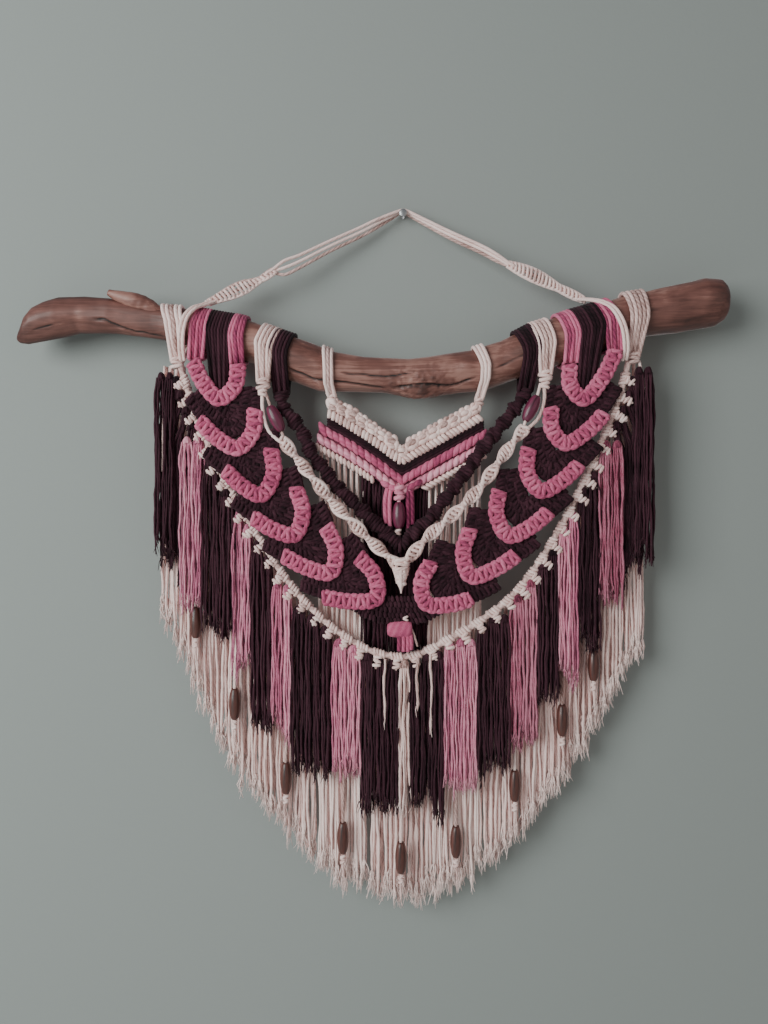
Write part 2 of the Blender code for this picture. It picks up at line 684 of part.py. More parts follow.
def swag_z(x):
    """Height and slope of the swag cord's middle at x."""
    path = smooth_path(SWAG, 200)
    slopes = np.gradient(path[:, 1], path[:, 0])
    return np.interp(x, path[:, 0], path[:, 1]), np.interp(x, path[:, 0], slopes)


def build_swag():
    """Swag cord with its hitches as ridges, and the knots and cords of its two mounts."""
    path = at_depth(smooth_path(SWAG, SWAG_CUTS), SWAG_Y)
    pieces = [tube(path, ridged(SWAG_CUTS, *SWAG_RADII))]
    for side, knot in OUTER_KNOTS.items():
        pieces += mount_cords(f"outer_{side}", (knot.x, SWAG_Y, knot.z))
    return finish(fuse(pieces), "swag_cord", CREAM)


def comb(name, colour, top, rows, height, strand_path, crown=0.0, rib=0.0):
    """Strip with a strand below each chosen cell of its underside, all one closed body.

    top holds the points (x, z) of the strip's upper edge, rows the Y edges from front to back, and
    strand_path gives a strand's sections (dx, y, z, scale) for a column and row, or None.
    crown narrows the strip's upper edge in Y and rib raises every second point of its front.
    """
    shape = bmesh.new()
    last = len(top) - 1
    lower = []
    upper = []
    for k, (x, z) in enumerate(top):
        front = rows[0] - (rib if k % 2 else 0.0)
        below = (front, *rows[1:])
        above = (front + crown, rows[-1] - crown)
        lower.append([shape.verts.new((x * MM, y * MM, (z - height) * MM)) for y in below])
        upper.append([shape.verts.new((x * MM, y * MM, z * MM)) for y in above])
    for k in range(last):
        shape.faces.new((upper[k][0], upper[k + 1][0], upper[k + 1][1], upper[k][1]))
        shape.faces.new((lower[k][0], lower[k + 1][0], upper[k + 1][0], upper[k][0]))
        shape.faces.new((lower[k][-1], upper[k][-1], upper[k + 1][-1], lower[k + 1][-1]))
        for row in range(len(rows) - 1):
            cell = (lower[k][row], lower[k][row + 1], lower[k + 1][row + 1], lower[k + 1][row])
            sections = strand_path(k, row)
            if sections:
                add_strand(shape, cell, sections)
            else:
                shape.faces.new(cell)
    for k in (0, last):
        shape.faces.new((*lower[k], upper[k][1], upper[k][0]))
    bmesh.ops.recalc_face_normals(shape, faces=shape.faces)
    mesh = bpy.data.meshes.new(name)
    shape.to_mesh(mesh)
    shape.free()
    return finish(add_mesh(mesh), name, colour)


def add_strand(shape, cell, sections):
    """Carry a cell's outline down through the strand's sections and close the end."""
    xs = [vert.co.x for vert in cell]
    ys = [vert.co.y for vert in cell]
    middle_x, middle_y = sum(xs) / 4, sum(ys) / 4
    loop = cell
    for dx, y, z, scale in sections:
        centre_y = middle_y if y is None else y * MM
        below = [shape.verts.new((middle_x + dx * MM + (px - middle_x) * scale,
                                  centre_y + (py - middle_y) * scale, z * MM))
                 for px, py in zip(xs, ys)]
        for k in range(4):
            after = (k + 1) % 4
            shape.faces.new((loop[k], loop[after], below[after], below[k]))
        loop = below
    shape.faces.new(loop)


def bead_strand(start_z, place, shift, y):
    """Sections of a strand that comes forward, passes through a brown bead and ends in a knot."""
    end = place.z - BROWN_BEAD_LENGTH / 2
    head = place.z + BROWN_BEAD_LENGTH / 2
    bend = min(start_z - STRAND_STRAIGHT, head + STRAND_FORWARD)
    sections = [(0.0, None, bend, STRAND_TAPER), (shift, y, head + BEAD_LEAD, BEAD_SHARE)]
    return sections + [(shift, y, end - drop, share) for drop, share in BEAD_KNOT]


def fringe_strands(top, height, bottom_at, unevenness, beads=(), bead_y=BROWN_BEAD_Y):
    """Strand paths for a comb: every second cell, in turn from row to row."""
    xs = [x for x, _ in top]
    middles = [(a + b) / 2 for a, b in zip(xs, xs[1:])]
    beaded = {}
    for place in beads:
        column = min(range(0, len(middles), 2), key=lambda k: abs(middles[k] - place.x))
        beaded[column] = place

    def path(column, row):
        if (column + row) % 2:
            return None
        x, z = middles[column], min(top[column][1], top[column + 1][1]) - height
        if row == 0 and column in beaded:
            return bead_strand(z, beaded[column], beaded[column].x - x, bead_y)
        bottom = bottom_at(x) + unevenness * math.sin(UNEVEN_COLUMN * column + UNEVEN_ROW * row)
        sway = SWAY * math.sin(SWAY_COLUMN * column + row)
        middle = z + (bottom - z) / 2
        return [(sway, None, middle, STRAND_MIDDLE), (0.0, None, bottom, STRAND_END)]

    return path


def columns(left, right, pitch, z_at):
    """Points of a comb's upper edge from left to right, about a pitch apart."""
    count = max(2, round((right - left) / pitch))
    return [(x, z_at(x)) for x in np.linspace(left, right, count + 1)]


def head_top(tassel):
    """Upper edge of a tassel's head, which follows the underside of the swag cord."""
    def head_z(x):
        if not SWAG[0].x < x < SWAG[-1].x:
            return tassel.head
        height, slope = swag_z(x)
        return min(tassel.head, height - (SWAG_RADII[1] + HEAD_GAP) * math.hypot(1.0, slope))

    return columns(tassel.left, tassel.right, TASSEL_PITCH, head_z)


def build_tassels():
    """Tassels that hang from the swag cord; the cream one in the centre carries a bead."""
    for tassel in TASSELS:
        centred = tassel.name == CENTRE_TASSEL
        beads = [BROWN_BEADS[4]] if centred else []
        foot = CENTRE_FOOT if centred else tassel.bottom
        top = head_top(tassel)
        strands = fringe_strands(top, HEAD_HEIGHT, lambda x, z=foot: z, TASSEL_UNEVEN, beads,
                                 CENTRE_STRAND_Y)
        comb(tassel.name, tassel.colour, top, TASSEL_ROWS, HEAD_HEIGHT, strands, HEAD_CROWN, HEAD_RIB)


def swag_line(x):
    """Height at x of the upper edge of a fringe that hangs behind the swag cord."""
    return float(swag_z(min(max(x, SWAG[0].x), SWAG[-1].x))[0]) + STRIP_RISE


def above_swag(x):
    """Height at x of the feet of the dark curtain, a little above the swag cord."""
    return swag_line(x) + CURTAIN_LIFT


def row_line(x):
    """Height at x of the upper edge of a curtain that hangs from the chevron's last row."""
    return chevron_z(x, CHEVRON_ROWS[-1].drop) + ROW_RISE


def edge_line(x):
    """Height at x of the lower edge of the long fringe."""
    edge = smooth_path(FRINGE_EDGE, 60)
    return float(np.interp(x, edge[:, 0], edge[:, 1]))


def build_fringes():
    """Long cream fringe behind the swag, and the curtains that hang from the chevron."""
    lines = {"swag": swag_line, "above_swag": above_swag, "chevron": row_line, "edge": edge_line}
    for fringe in FRINGES:
        top = columns(fringe.left, fringe.right, FRINGE_PITCH, lines[fringe.above])
        strands = fringe_strands(top, STRIP_HEIGHT, lines[fringe.below], fringe.uneven, fringe.beads)
        comb(fringe.name, fringe.colour, top, CURTAIN_ROWS, STRIP_HEIGHT, strands)


def build_leaf_join():
    """Aubergine bar and pink folded tab where the two leaf chains meet."""
    finish(tube(at_depth(JOIN, LEAF_Y), JOIN_RADII, 6, 0.9), "leaf_join", AUBERGINE)
    tab = tube(at_depth(TAB, LEAF_Y), TAB_RADII, 6, 0.7)
    top = TAB[0].z - GAP
    strands = [tube([(x, LEAF_Y + GAP, top), (x + GAP, LEAF_Y, TAB_FOOT)], TAB_STRAND_RADII, 4)
               for x in TAB_STRANDS]
    finish(fuse([tab, *strands]), "leaf_tab", ROSE)


def build_beads():
    """Oval wooden beads: three plum ones on the nets and nine brown ones on the fringe."""
    for place in PLUM_BEADS:
        bead(place, PLUM_WOOD)
    for number, (x, z) in enumerate(BROWN_BEADS, start=1):
        y = CENTRE_STRAND_Y if number == 5 else BROWN_BEAD_Y
        name = f"brown_bead_{number}"
        bead(BeadPlace(name, x, y, z, BROWN_BEAD_RADIUS, BROWN_BEAD_LENGTH, 0.0), BROWN_WOOD)


def main():
    """Build the hanging in one collection."""
    clear_scene()
    collection = bpy.data.collections.new("macrame_wall_hanging")
    bpy.context.scene.collection.children.link(collection)
    build_branch()
    build_nail()
    build_hanging_cord()
    build_leaf_chain("left")
    build_leaf_chain("right")
    build_spiral_v()
    build_dark_v()
    build_chevron()
    build_swag()
    build_tassels()
    build_fringes()
    build_leaf_join()
    build_beads()


main()
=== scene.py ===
"""Looks of the macrame wall hanging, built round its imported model.

Shapes are worked out in millimetres and turned to metres where a mesh is made. The frame is the
model's own: the origin is the nail's axis at the wall, +X runs right, +Z up, the front faces -Y.
Every cord is a tube carried along a path, and every hitch and knot is a closed loop of cord laid
round a path. The branch is a row of lumpy rings, and a bead is an outline carried round an axis.
"""
from __future__ import annotations

import logging
import math
import zlib
from collections.abc import Callable
from dataclasses import dataclass, field, replace
from enum import Enum

import bpy
import numpy as np
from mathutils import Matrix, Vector

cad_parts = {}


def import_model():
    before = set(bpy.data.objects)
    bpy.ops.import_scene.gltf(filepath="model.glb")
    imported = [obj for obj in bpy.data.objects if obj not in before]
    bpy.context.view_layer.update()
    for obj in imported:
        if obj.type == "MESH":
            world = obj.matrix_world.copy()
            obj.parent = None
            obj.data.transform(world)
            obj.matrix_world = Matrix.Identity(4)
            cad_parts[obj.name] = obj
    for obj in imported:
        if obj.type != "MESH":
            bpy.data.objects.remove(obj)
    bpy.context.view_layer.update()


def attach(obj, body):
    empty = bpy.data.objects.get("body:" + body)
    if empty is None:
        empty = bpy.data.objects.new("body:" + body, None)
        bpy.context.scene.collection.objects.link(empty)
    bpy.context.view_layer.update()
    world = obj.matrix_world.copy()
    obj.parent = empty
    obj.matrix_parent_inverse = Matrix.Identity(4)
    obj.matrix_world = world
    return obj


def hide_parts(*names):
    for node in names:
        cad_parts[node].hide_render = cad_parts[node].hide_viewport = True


LOG = logging.getLogger("macrame")
Array = np.ndarray
Random = np.random.Generator
Socket = bpy.types.NodeSocket

MM = 0.001
SEED = 20
FRONT = np.array((0.0, -1.0, 0.0))
DOWN = np.array((0.0, 0.0, -1.0))

# Depths (Y) of the layers, from the wall to the front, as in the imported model.
CURTAIN_ROWS = (-34.0, -30.5, -27.0)
BRANCH_Y = -36.0
CHEVRON_Y = -39.6
BROWN_BEAD_Y = -41.2
CENTRE_BEAD_Y = -45.0
SWAG_Y = -48.0
DARK_V_Y = -48.2
CENTRE_STRAND_Y = -48.5
TASSEL_ROWS = (-52.0, -48.5, -45.0)
LEAF_Y = -58.5
SPIRAL_Y = -59.0


# ---------------------------------------------------------------- finishes


def linear(code: str) -> tuple[float, float, float, float]:
    """Turn an sRGB hex colour into linear light.

    Args:
        code: Colour as "#rrggbb".

    Returns:
        Linear red, green, blue and an alpha of one.
    """
    parts = np.array([int(code[k:k + 2], 16) for k in (1, 3, 5)]) / 255
    light = np.where(parts <= 0.04045, parts / 12.92, ((parts + 0.055) / 1.055) ** 2.4)
    return (*(float(part) for part in light), 1.0)


@dataclass(frozen=True)
class Nodes:
    """Nodes of one material. Each is added with its settings and with what feeds it."""

    tree: bpy.types.NodeTree

    def fill(self, node: bpy.types.ShaderNode, settings: dict, links: dict) -> None:
        """Give a node its settings and links.

        Args:
            node: The node.
            settings: Property or socket names with their values.
            links: Socket names or numbers with the output sockets that feed them.
        """
        for name, value in settings.items():
            if isinstance(name, str) and hasattr(node, name):
                setattr(node, name, value)
            else:
                node.inputs[name].default_value = value
        for name, source in links.items():
            self.tree.links.new(source, node.inputs[name])

    def add(self, kind: str, settings: dict | None = None,
            links: dict | None = None) -> bpy.types.ShaderNode:
        """Add a node.

        Args:
            kind: Kind of shader node, such as "Bump".
            settings: Property or socket names with their values.
            links: Socket names or numbers with the output sockets that feed them.

        Returns:
            The new node.
        """
        node = self.tree.nodes.new(f"ShaderNode{kind}")
        self.fill(node, settings or {}, links or {})
        return node

    def noise(self, place: Socket, settings: dict) -> Socket:
        """Noise looked up at a place, with its scale, detail and the like; gives its value."""
        return self.add("TexNoise", settings, {"Vector": place}).outputs["Fac"]

    def total(self, start: float, parts: list[tuple[Socket, float]]) -> Socket:
        """Sum of a number to start with and of some values, each times its weight."""
        (source, weight), *others = parts
        settings = {"operation": "MULTIPLY_ADD", 1: weight, 2: start}
        node = self.add("Math", settings, {0: source})
        for source, weight in others:
            node = self.add("Math", {"operation": "MULTIPLY_ADD", 1: weight},
                            {0: source, 2: node.outputs["Value"]})
        return node.outputs["Value"]

    def between(self, source: Socket, low: float, high: float) -> Socket:
        """Value from 0 to 1, spread from low to high."""
        settings = {"To Min": low, "To Max": high}
        return self.add("MapRange", settings, {"Value": source}).outputs["Result"]

    def relief(self, height: Socket, strength: float, depth_mm: float,
               under: Socket | None = None) -> Socket:
        """Raise a surface.

        Args:
            height: Height from 0 to 1.
            strength: How much of the relief shows.
            depth_mm: How far a height of 1 stands out.
            under: Normal of a relief that this one lies on.

        Returns:
            Normal of the raised surface.
        """
        links = {"Height": height} if under is None else {"Height": height, "Normal": under}
        settings = {"Strength": strength, "Distance": depth_mm * MM}
        return self.add("Bump", settings, links).outputs["Normal"]

    def ramp(self, source: Socket, stops: list[tuple[float, str]]) -> Socket:
        """Colour a value.

        Args:
            source: Value from 0 to 1.
            stops: Places from 0 to 1, each with its hex colour.

        Returns:
            The colour.
        """
        node = self.add("ValToRGB", links={0: source})
        elements = node.color_ramp.elements
        while len(elements) < len(stops):
            elements.new(0.5)
        for element, (place, code) in zip(elements, stops):
            element.position = place
            element.color = linear(code)
        return node.outputs["Color"]


@dataclass(frozen=True)
class Finish:
    """A finish: its name, and the name of a material slot, which this script does not use."""

    name: str
    slot: str

    def material(self) -> bpy.types.Material:
        """Return the finish's material, made the first time it is asked for."""
        found = bpy.data.materials.get(self.name)
        if found is None:
            found = bpy.data.materials.new(self.name)
            found.use_nodes = True
            tree = found.node_tree
            self.dress(Nodes(tree), tree.nodes["Principled BSDF"])
        return found

    def dress(self, nodes: Nodes, shader: bpy.types.ShaderNode) -> None:
        """Fill in the material's nodes; each kind of finish has its own.

        Args:
            nodes: Nodes of the material.
            shader: Its Principled shader.
        """


@dataclass(frozen=True)
class CottonCord(Finish):
    """Single-twist cotton cord dyed in the yarn: matt, a little fuzzy, with painted shade between
    its plies.
    """

    deep: str
    middle: str
    light: str
    plies: float = 3.0
    twist_mm: float = 7.0
    fibre_mm: float = 0.9
    sheen: float = 0.1

    def dress(self, nodes: Nodes, shader: bpy.types.ShaderNode) -> None:
        """Mix the dye's shades by strand, by blotch and by ply, with painted shade in the ply
        grooves, and raise the plies and fibres.

        Args:
            nodes: Nodes of the material.
            shader: Its Principled shader.
        """
        place = nodes.add("TexCoord").outputs
        strand = nodes.add("Attribute", {"attribute_name": "shade"})
        # The plies run as a helix: their phase is turns round the cord plus turns along it.
        turns = (2 * math.pi * self.plies, 2 * math.pi / (self.twist_mm * MM), 0.0)
        phase = nodes.add("VectorMath", {"operation": "DOT_PRODUCT", 1: turns}, {0: place["UV"]})
        sine = nodes.add("Math", {"operation": "SINE"}, {0: phase.outputs["Value"]})
        ply = sine.outputs["Value"]
        blotch = nodes.noise(place["Object"], {"Scale": 1 / (14 * MM), "Detail": 3.0})
        fibre = nodes.noise(place["Object"], {"Scale": 1 / (self.fibre_mm * MM), "Detail": 3.0,
                                              "Roughness": 0.7})
        # The four parts add up to about 0.65 on average, where the ramp has the middle colour.
        # Painted shade: the ply part darkens the grooves between the plies. A low strand value,
        # given to the flat backings, the cores and the back strings, brings in the dye's deep
        # colour.
        shade = nodes.total(0.0, [(strand.outputs["Fac"], 0.45), (blotch, 0.4), (fibre, 0.45),
                                  (ply, 0.06)])
        dyed = nodes.ramp(shade, [(0.36, self.deep), (0.65, self.middle), (0.9, self.light)])
        raised = nodes.relief(fibre, 0.6, 0.25, under=nodes.relief(ply, 0.3, 0.25))
        nodes.fill(shader, {"Roughness": 0.9, "Specular IOR Level": 0.2,
                            "Sheen Weight": self.sheen, "Sheen Roughness": 0.5},
                   {"Base Color": dyed, "Normal": raised})


@dataclass(frozen=True)
class Driftwood(Finish):
    """Sea-worn softwood, brushed clean and varnished: long grain, cracks in painted shade, a thin
    coat.
    """

    grain_mm: float = 2.6
    run_mm: float = 70.0

    def dress(self, nodes: Nodes, shader: bpy.types.ShaderNode) -> None:
        """Stretch the grain along the branch, paint shade into its cracks and coat it.

        Args:
            nodes: Nodes of the material.
            shader: Its Principled shader.
        """
        place = nodes.add("TexCoord").outputs["Object"]
        crack = nodes.add("Attribute", {"attribute_name": "shade"})
        across, along = 1 / (self.grain_mm * MM), 1 / (self.run_mm * MM)
        lie = nodes.add("Mapping", {"Scale": (along, across, across)}, {"Vector": place})
        grain = nodes.noise(lie.outputs["Vector"], {"Scale": 1.0, "Detail": 5.0,
                                                    "Roughness": 0.62, "Distortion": 0.5})
        patch = nodes.noise(place, {"Scale": 1 / (38 * MM), "Detail": 3.0})
        # The wood's shade starts at 0.18. Grain and patches make it lighter, and the attribute
        # darker: painted shade in the cracks and grooves, the bark's own tone and the darker ends.
        shade = nodes.total(0.18, [(grain, 0.6), (patch, 0.85), (crack.outputs["Fac"], -0.8)])
        stops = [(0.3, "#1c1110"), (0.66, "#59352f"), (0.88, "#784d45"), (1.0, "#966c62")]
        nodes.fill(shader, {"IOR": 1.5, "Coat Weight": 0.15, "Coat Roughness": 0.28},
                   {"Base Color": nodes.ramp(shade, stops),
                    "Roughness": nodes.between(patch, 0.42, 0.68),
                    "Normal": nodes.relief(grain, 0.5, 0.6)})


@dataclass(frozen=True)
class StainedWood(Finish):
    """Turned hardwood bead, stained and lacquered: satin, with streaks that run along the bore."""

    deep: str
    light: str

    def dress(self, nodes: Nodes, shader: bpy.types.ShaderNode) -> None:
        """Run the streaks along the bead and lacquer it.

        Args:
            nodes: Nodes of the material.
            shader: Its Principled shader.
        """
        place = nodes.add("TexCoord").outputs["UV"]
        # About nine streaks go round the bead, and each runs some 40 mm along it.
        lie = nodes.add("Mapping", {"Scale": (9.0, 1 / (40 * MM), 1.0)}, {"Vector": place})
        streak = nodes.noise(lie.outputs["Vector"],
                             {"Scale": 1.0, "Detail": 4.0, "Roughness": 0.6})
        nodes.fill(shader, {"Roughness": 0.45, "IOR": 1.5, "Coat Weight": 0.25,
                            "Coat Roughness": 0.12},
                   {"Base Color": nodes.ramp(streak, [(0.36, self.deep), (0.68, self.light)]),
                    "Normal": nodes.relief(streak, 0.2, 0.15)})


@dataclass(frozen=True)
class DrawnSteel(Finish):
    """Bright drawn wire nail: grey steel with fine marks left by the die."""

    def dress(self, nodes: Nodes, shader: bpy.types.ShaderNode) -> None:
        """Make the steel, with small changes of gloss.

        Args:
            nodes: Nodes of the material.
            shader: Its Principled shader.
        """
        place = nodes.add("TexCoord").outputs["Object"]
        marks = nodes.noise(place, {"Scale": 1 / (0.7 * MM), "Detail": 3.0})
        nodes.fill(shader, {"Base Color": linear("#b9b9bb"), "Metallic": 1.0},
                   {"Roughness": nodes.between(marks, 0.22, 0.45),
                    "Normal": nodes.relief(marks, 0.2, 0.05)})


@dataclass(frozen=True)
class MattPaint(Finish):
    """Emulsion paint put on with a roller: flat, with a low stipple."""

    colour: str
    stipple_mm: float = 4.0

    def dress(self, nodes: Nodes, shader: bpy.types.ShaderNode) -> None:
        """Colour the paint and raise its stipple.

        Args:
            nodes: Nodes of the material.
            shader: Its Principled shader.
        """
        place = nodes.add("TexCoord").outputs["Object"]
        stipple = nodes.noise(place, {"Scale": 1 / (self.stipple_mm * MM), "Detail": 2.0})
        nodes.fill(shader, {"Base Color": linear(self.colour), "Roughness": 0.85},
                   {"Normal": nodes.relief(stipple, 0.25, 0.4)})


class Dye(Enum):
    """The finishes that the hanging's cords, beads and wood come in."""

    CREAM = CottonCord("cream_cotton_cord", "cream_cord", "#93706a", "#f2d0cb", "#ffe8e3")
    ROSE = CottonCord("rose_cotton_cord", "rose_cord", "#6e2344", "#ba5678", "#d57a98")
    BLUSH = CottonCord("blush_cotton_cord", "rose_cord", "#652540", "#bd6c88", "#e5a3b5")
    # Painted shade: a darker copy of the blush dye, for the rose tassels 14 and 18 on the right,
    # which hang in shade.
    DUSK = CottonCord("shaded_rose_cotton_cord", "rose_cord", "#4a172c", "#96485f", "#c37d91")
    PINK = CottonCord("light_pink_cotton_cord", "pink_cord", "#9c4c68", "#dd8ca5", "#f4b6c5")
    PETAL = CottonCord("petal_cotton_cord", "pink_cord", "#6b2540", "#bf6a87", "#e5a0b3")
    AUBERGINE = CottonCord("aubergine_cotton_cord", "aubergine_cord", "#12070b", "#301620",
                           "#472732", sheen=0.04)
    PLUM = StainedWood("plum_stained_bead", "plum_wood", "#390a1f", "#832f52")
    BROWN = StainedWood("brown_stained_bead", "brown_wood", "#2a1411", "#734038")
    WOOD = Driftwood("varnished_driftwood", "driftwood")
    STEEL = DrawnSteel("drawn_steel", "steel")


# ---------------------------------------------------------------- shapes


@dataclass
class Shell:
    """A surface as arrays: points, faces as runs of corners, UV a corner and a shade a point."""

    points: Array
    corners: Array
    counts: Array
    uv: Array
    shade: Array


def joined(shells: list[Shell]) -> Shell:
    """Put shells into one, each one's corners counted on from the shells before it.

    Args:
        shells: Shells to join.

    Returns:
        One shell.
    """
    starts = np.cumsum([0] + [len(shell.points) for shell in shells[:-1]])
    return Shell(np.concatenate([shell.points for shell in shells]),
                 np.concatenate([shell.corners + start for shell, start in zip(shells, starts)]),
                 np.concatenate([shell.counts for shell in shells]),
                 np.concatenate([shell.uv for shell in shells]),
                 np.concatenate([shell.shade for shell in shells]))


def put(name: str, shells: list[Shell], dye: Dye, *nodes: str) -> bpy.types.Object:
    """Make a finished piece that rides on the hanging.

    Args:
        name: Name of the piece.
        shells: Its shells, in millimetres.
        dye: Its finish.
        nodes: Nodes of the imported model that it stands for.

    Returns:
        The piece's object, at the origin, with its place in its mesh.
    """
    shell = joined(shells)
    mesh = bpy.data.meshes.new(name)
    mesh.vertices.add(len(shell.points))
    mesh.vertices.foreach_set("co", (shell.points * MM).astype(np.float32).ravel())
    mesh.loops.add(len(shell.corners))
    mesh.loops.foreach_set("vertex_index", shell.corners.astype(np.int32))
    mesh.polygons.add(len(shell.counts))
    starts = np.concatenate([[0], np.cumsum(shell.counts)[:-1]])
    mesh.polygons.foreach_set("loop_start", starts.astype(np.int32))
    mesh.update(calc_edges=True)
    layer = mesh.uv_layers.new(name="UVMap")
    layer.uv.foreach_set("vector", shell.uv.astype(np.float32).ravel())
    shade = mesh.attributes.new("shade", "FLOAT", "POINT")
    shade.data.foreach_set("value", shell.shade.astype(np.float32))
    mesh.shade_smooth()
    mesh.materials.append(dye.value.material())
    thing = bpy.data.objects.new(name, mesh)
    bpy.context.scene.collection.objects.link(thing)
    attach(thing, "root")
    if nodes:
        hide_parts(*nodes)
    triangles = int((shell.counts - 2).sum())
    LOG.info("%s: %d triangles, stands for %s", name, triangles, ", ".join(nodes) or "no node")
    return thing


def drawn(name: str) -> Random:
    """Random draws that belong to a name, the same in every run."""
    return np.random.default_rng(SEED + zlib.crc32(name.encode()))


def unit(vectors: Array) -> Array:
    """Vectors along the last axis, each with a length of one."""
    return vectors / np.maximum(np.linalg.norm(vectors, axis=-1, keepdims=True), 1e-9)


def even_path(points: Array | list, count: int) -> Array:
    """Even points on the straight legs between the given points.

    Args:
        points: Points of the path, one a row.
        count: How many points to give back.

    Returns:
        The even points.
    """
    nodes = np.asarray(points, dtype=float)
    travel = np.concatenate([[0.0], np.cumsum(np.linalg.norm(np.diff(nodes, axis=0), axis=1))])
    even = np.linspace(0.0, travel[-1], count)
    return np.stack([np.interp(even, travel, nodes[:, k]) for k in range(nodes.shape[1])], axis=1)


def smooth_path(points: Array | list, count: int) -> Array:
    """Even points on a Catmull-Rom curve: cubics whose slope at a point is its neighbours'.

    Args:
        points: Points that the curve goes through.
        count: How many points to give back.

    Returns:
        The even points.
    """
    nodes = np.asarray(points, dtype=float)
    padded = np.vstack([2 * nodes[0] - nodes[1], nodes, 2 * nodes[-1] - nodes[-2]])
    spot = np.linspace(0, len(nodes) - 1, 24 * (len(nodes) - 1) + 1)
    leg = np.minimum(spot.astype(int), len(nodes) - 2)
    t = (spot - leg)[:, None]
    a, b, c, d = (padded[leg + k] for k in range(4))
    fine = 0.5 * (2 * b + (c - a) * t + (2 * a - 5 * b + 4 * c - d) * t**2
                  + (3 * b - a - 3 * c + d) * t**3)
    return even_path(fine, count)


def at_depth(points: Array | list, y: float) -> Array:
    """Points (x, z) as points (x, y, z) at the depth y."""
    flat = np.asarray(points, dtype=float)
    return np.stack([flat[:, 0], np.full(len(flat), y), flat[:, 1]], axis=1)


def length_of(path: Array) -> float:
    """Length of a path in millimetres."""
    return float(np.linalg.norm(np.diff(path, axis=0), axis=1).sum())


def sideways(path: Array) -> Array:
    """Unit vectors square to a path and to the view from the front."""
    return unit(np.cross(np.gradient(path, axis=0), FRONT))


def carried_frames(paths: Array, closed: bool) -> tuple[Array, Array]:
    """Vectors square to many paths, carried from station to station with no twist of their own.

    Args:
        paths: Paths as an array of strand, station and (x, y, z).
        closed: Whether each path ends where it starts.

    Returns:
        Two arrays of unit vectors, square to the paths and to each other.
    """
    if closed:
        along = np.roll(paths, -1, axis=1) - np.roll(paths, 1, axis=1)
    else:
        along = np.gradient(paths, axis=1)
    tangent = unit(along)
    towards = np.abs(tangent[:, 0] @ FRONT)[:, None] > 0.9
    carried = np.where(towards, np.array((1.0, 0.0, 0.0)), FRONT)
    normal = np.empty_like(tangent)
    for station in range(paths.shape[1]):
        here = tangent[:, station]
        carried = unit(carried - (carried * here).sum(axis=1, keepdims=True) * here)
        normal[:, station] = carried
    return normal, np.cross(tangent, normal)


def sweep(paths: Array, radii: Array | float, sides: int = 6, closed: bool = False,
          flat: float = 1.0, shade: Array | float | None = None,
          rng: Random | None = None) -> Shell:
    """Round tubes along many paths: each station has a ring of points, a radius away from it.

    Args:
        paths: Paths as an array of strand, station and (x, y, z), or one path.
        radii: Radius everywhere, or one a station, or one a strand and station.
        sides: Points in a ring.
        closed: Whether each path ends where it starts; an open tube gets end caps.
        flat: Factor on the ring's first axis, which starts out towards the front.
        shade: Shade of each strand, from 0 to 1; drawn at random when left out.
        rng: Source of the random shades.

    Returns:
        Shell of all the tubes; U runs round a tube and V along it, in metres.
    """
    paths = np.asarray(paths, dtype=float)
    paths = paths[None] if paths.ndim == 2 else paths
    count, stations = paths.shape[:2]
    normal, across = carried_frames(paths, closed)
    turn = np.linspace(0.0, 2 * math.pi, sides, endpoint=False)[:, None]
    ring = flat * np.cos(turn) * normal[:, :, None] + np.sin(turn) * across[:, :, None]
    radius = np.broadcast_to(radii, (count, stations))[:, :, None, None]
    points = (paths[:, :, None] + radius * ring).reshape(-1, 3)
    last = stations if closed else stations - 1
    first = np.arange(count)[:, None, None] * stations * sides
    i = np.arange(last)[None, :, None]
    j = np.arange(sides)[None, None, :]
    near, far = first + i * sides, first + (i + 1) % stations * sides
    after = (j + 1) % sides
    quads = np.stack([near + j, near + after, far + after, far + j], axis=-1).reshape(-1)
    after_paths = np.roll(paths, -1, axis=1) if closed else paths[:, 1:]
    steps = np.linalg.norm(after_paths - paths[:, :last], axis=2) * MM
    travel = np.concatenate([np.zeros((count, 1)), np.cumsum(steps, axis=1)], axis=1)
    shape = (count, last, sides)
    u0, u1 = np.broadcast_to(j / sides, shape), np.broadcast_to((j + 1) / sides, shape)
    v0, v1 = (np.broadcast_to(travel[:, k:k + last, None], shape) for k in (0, 1))
    uv = np.stack([np.stack(pair, axis=-1) for pair in ((u0, v0), (u1, v0), (u1, v1), (u0, v1))],
                  axis=-2).reshape(-1, 2)
    counts = np.full(count * last * sides, 4)
    if not closed:
        cap = np.arange(sides)
        start = first.reshape(-1, 1)
        caps = np.stack([start + cap[::-1], start + (stations - 1) * sides + cap], axis=1)
        quads = np.concatenate([quads, caps.reshape(-1)])
        uv = np.concatenate([uv, np.zeros((2 * count * sides, 2))])
        counts = np.concatenate([counts, np.full(2 * count, sides)])
    if shade is None:
        shade = (rng or drawn("shade")).random(count)
    shades = np.repeat(np.broadcast_to(shade, (count,)), stations * sides)
    return Shell(points, quads, counts, uv, shades)


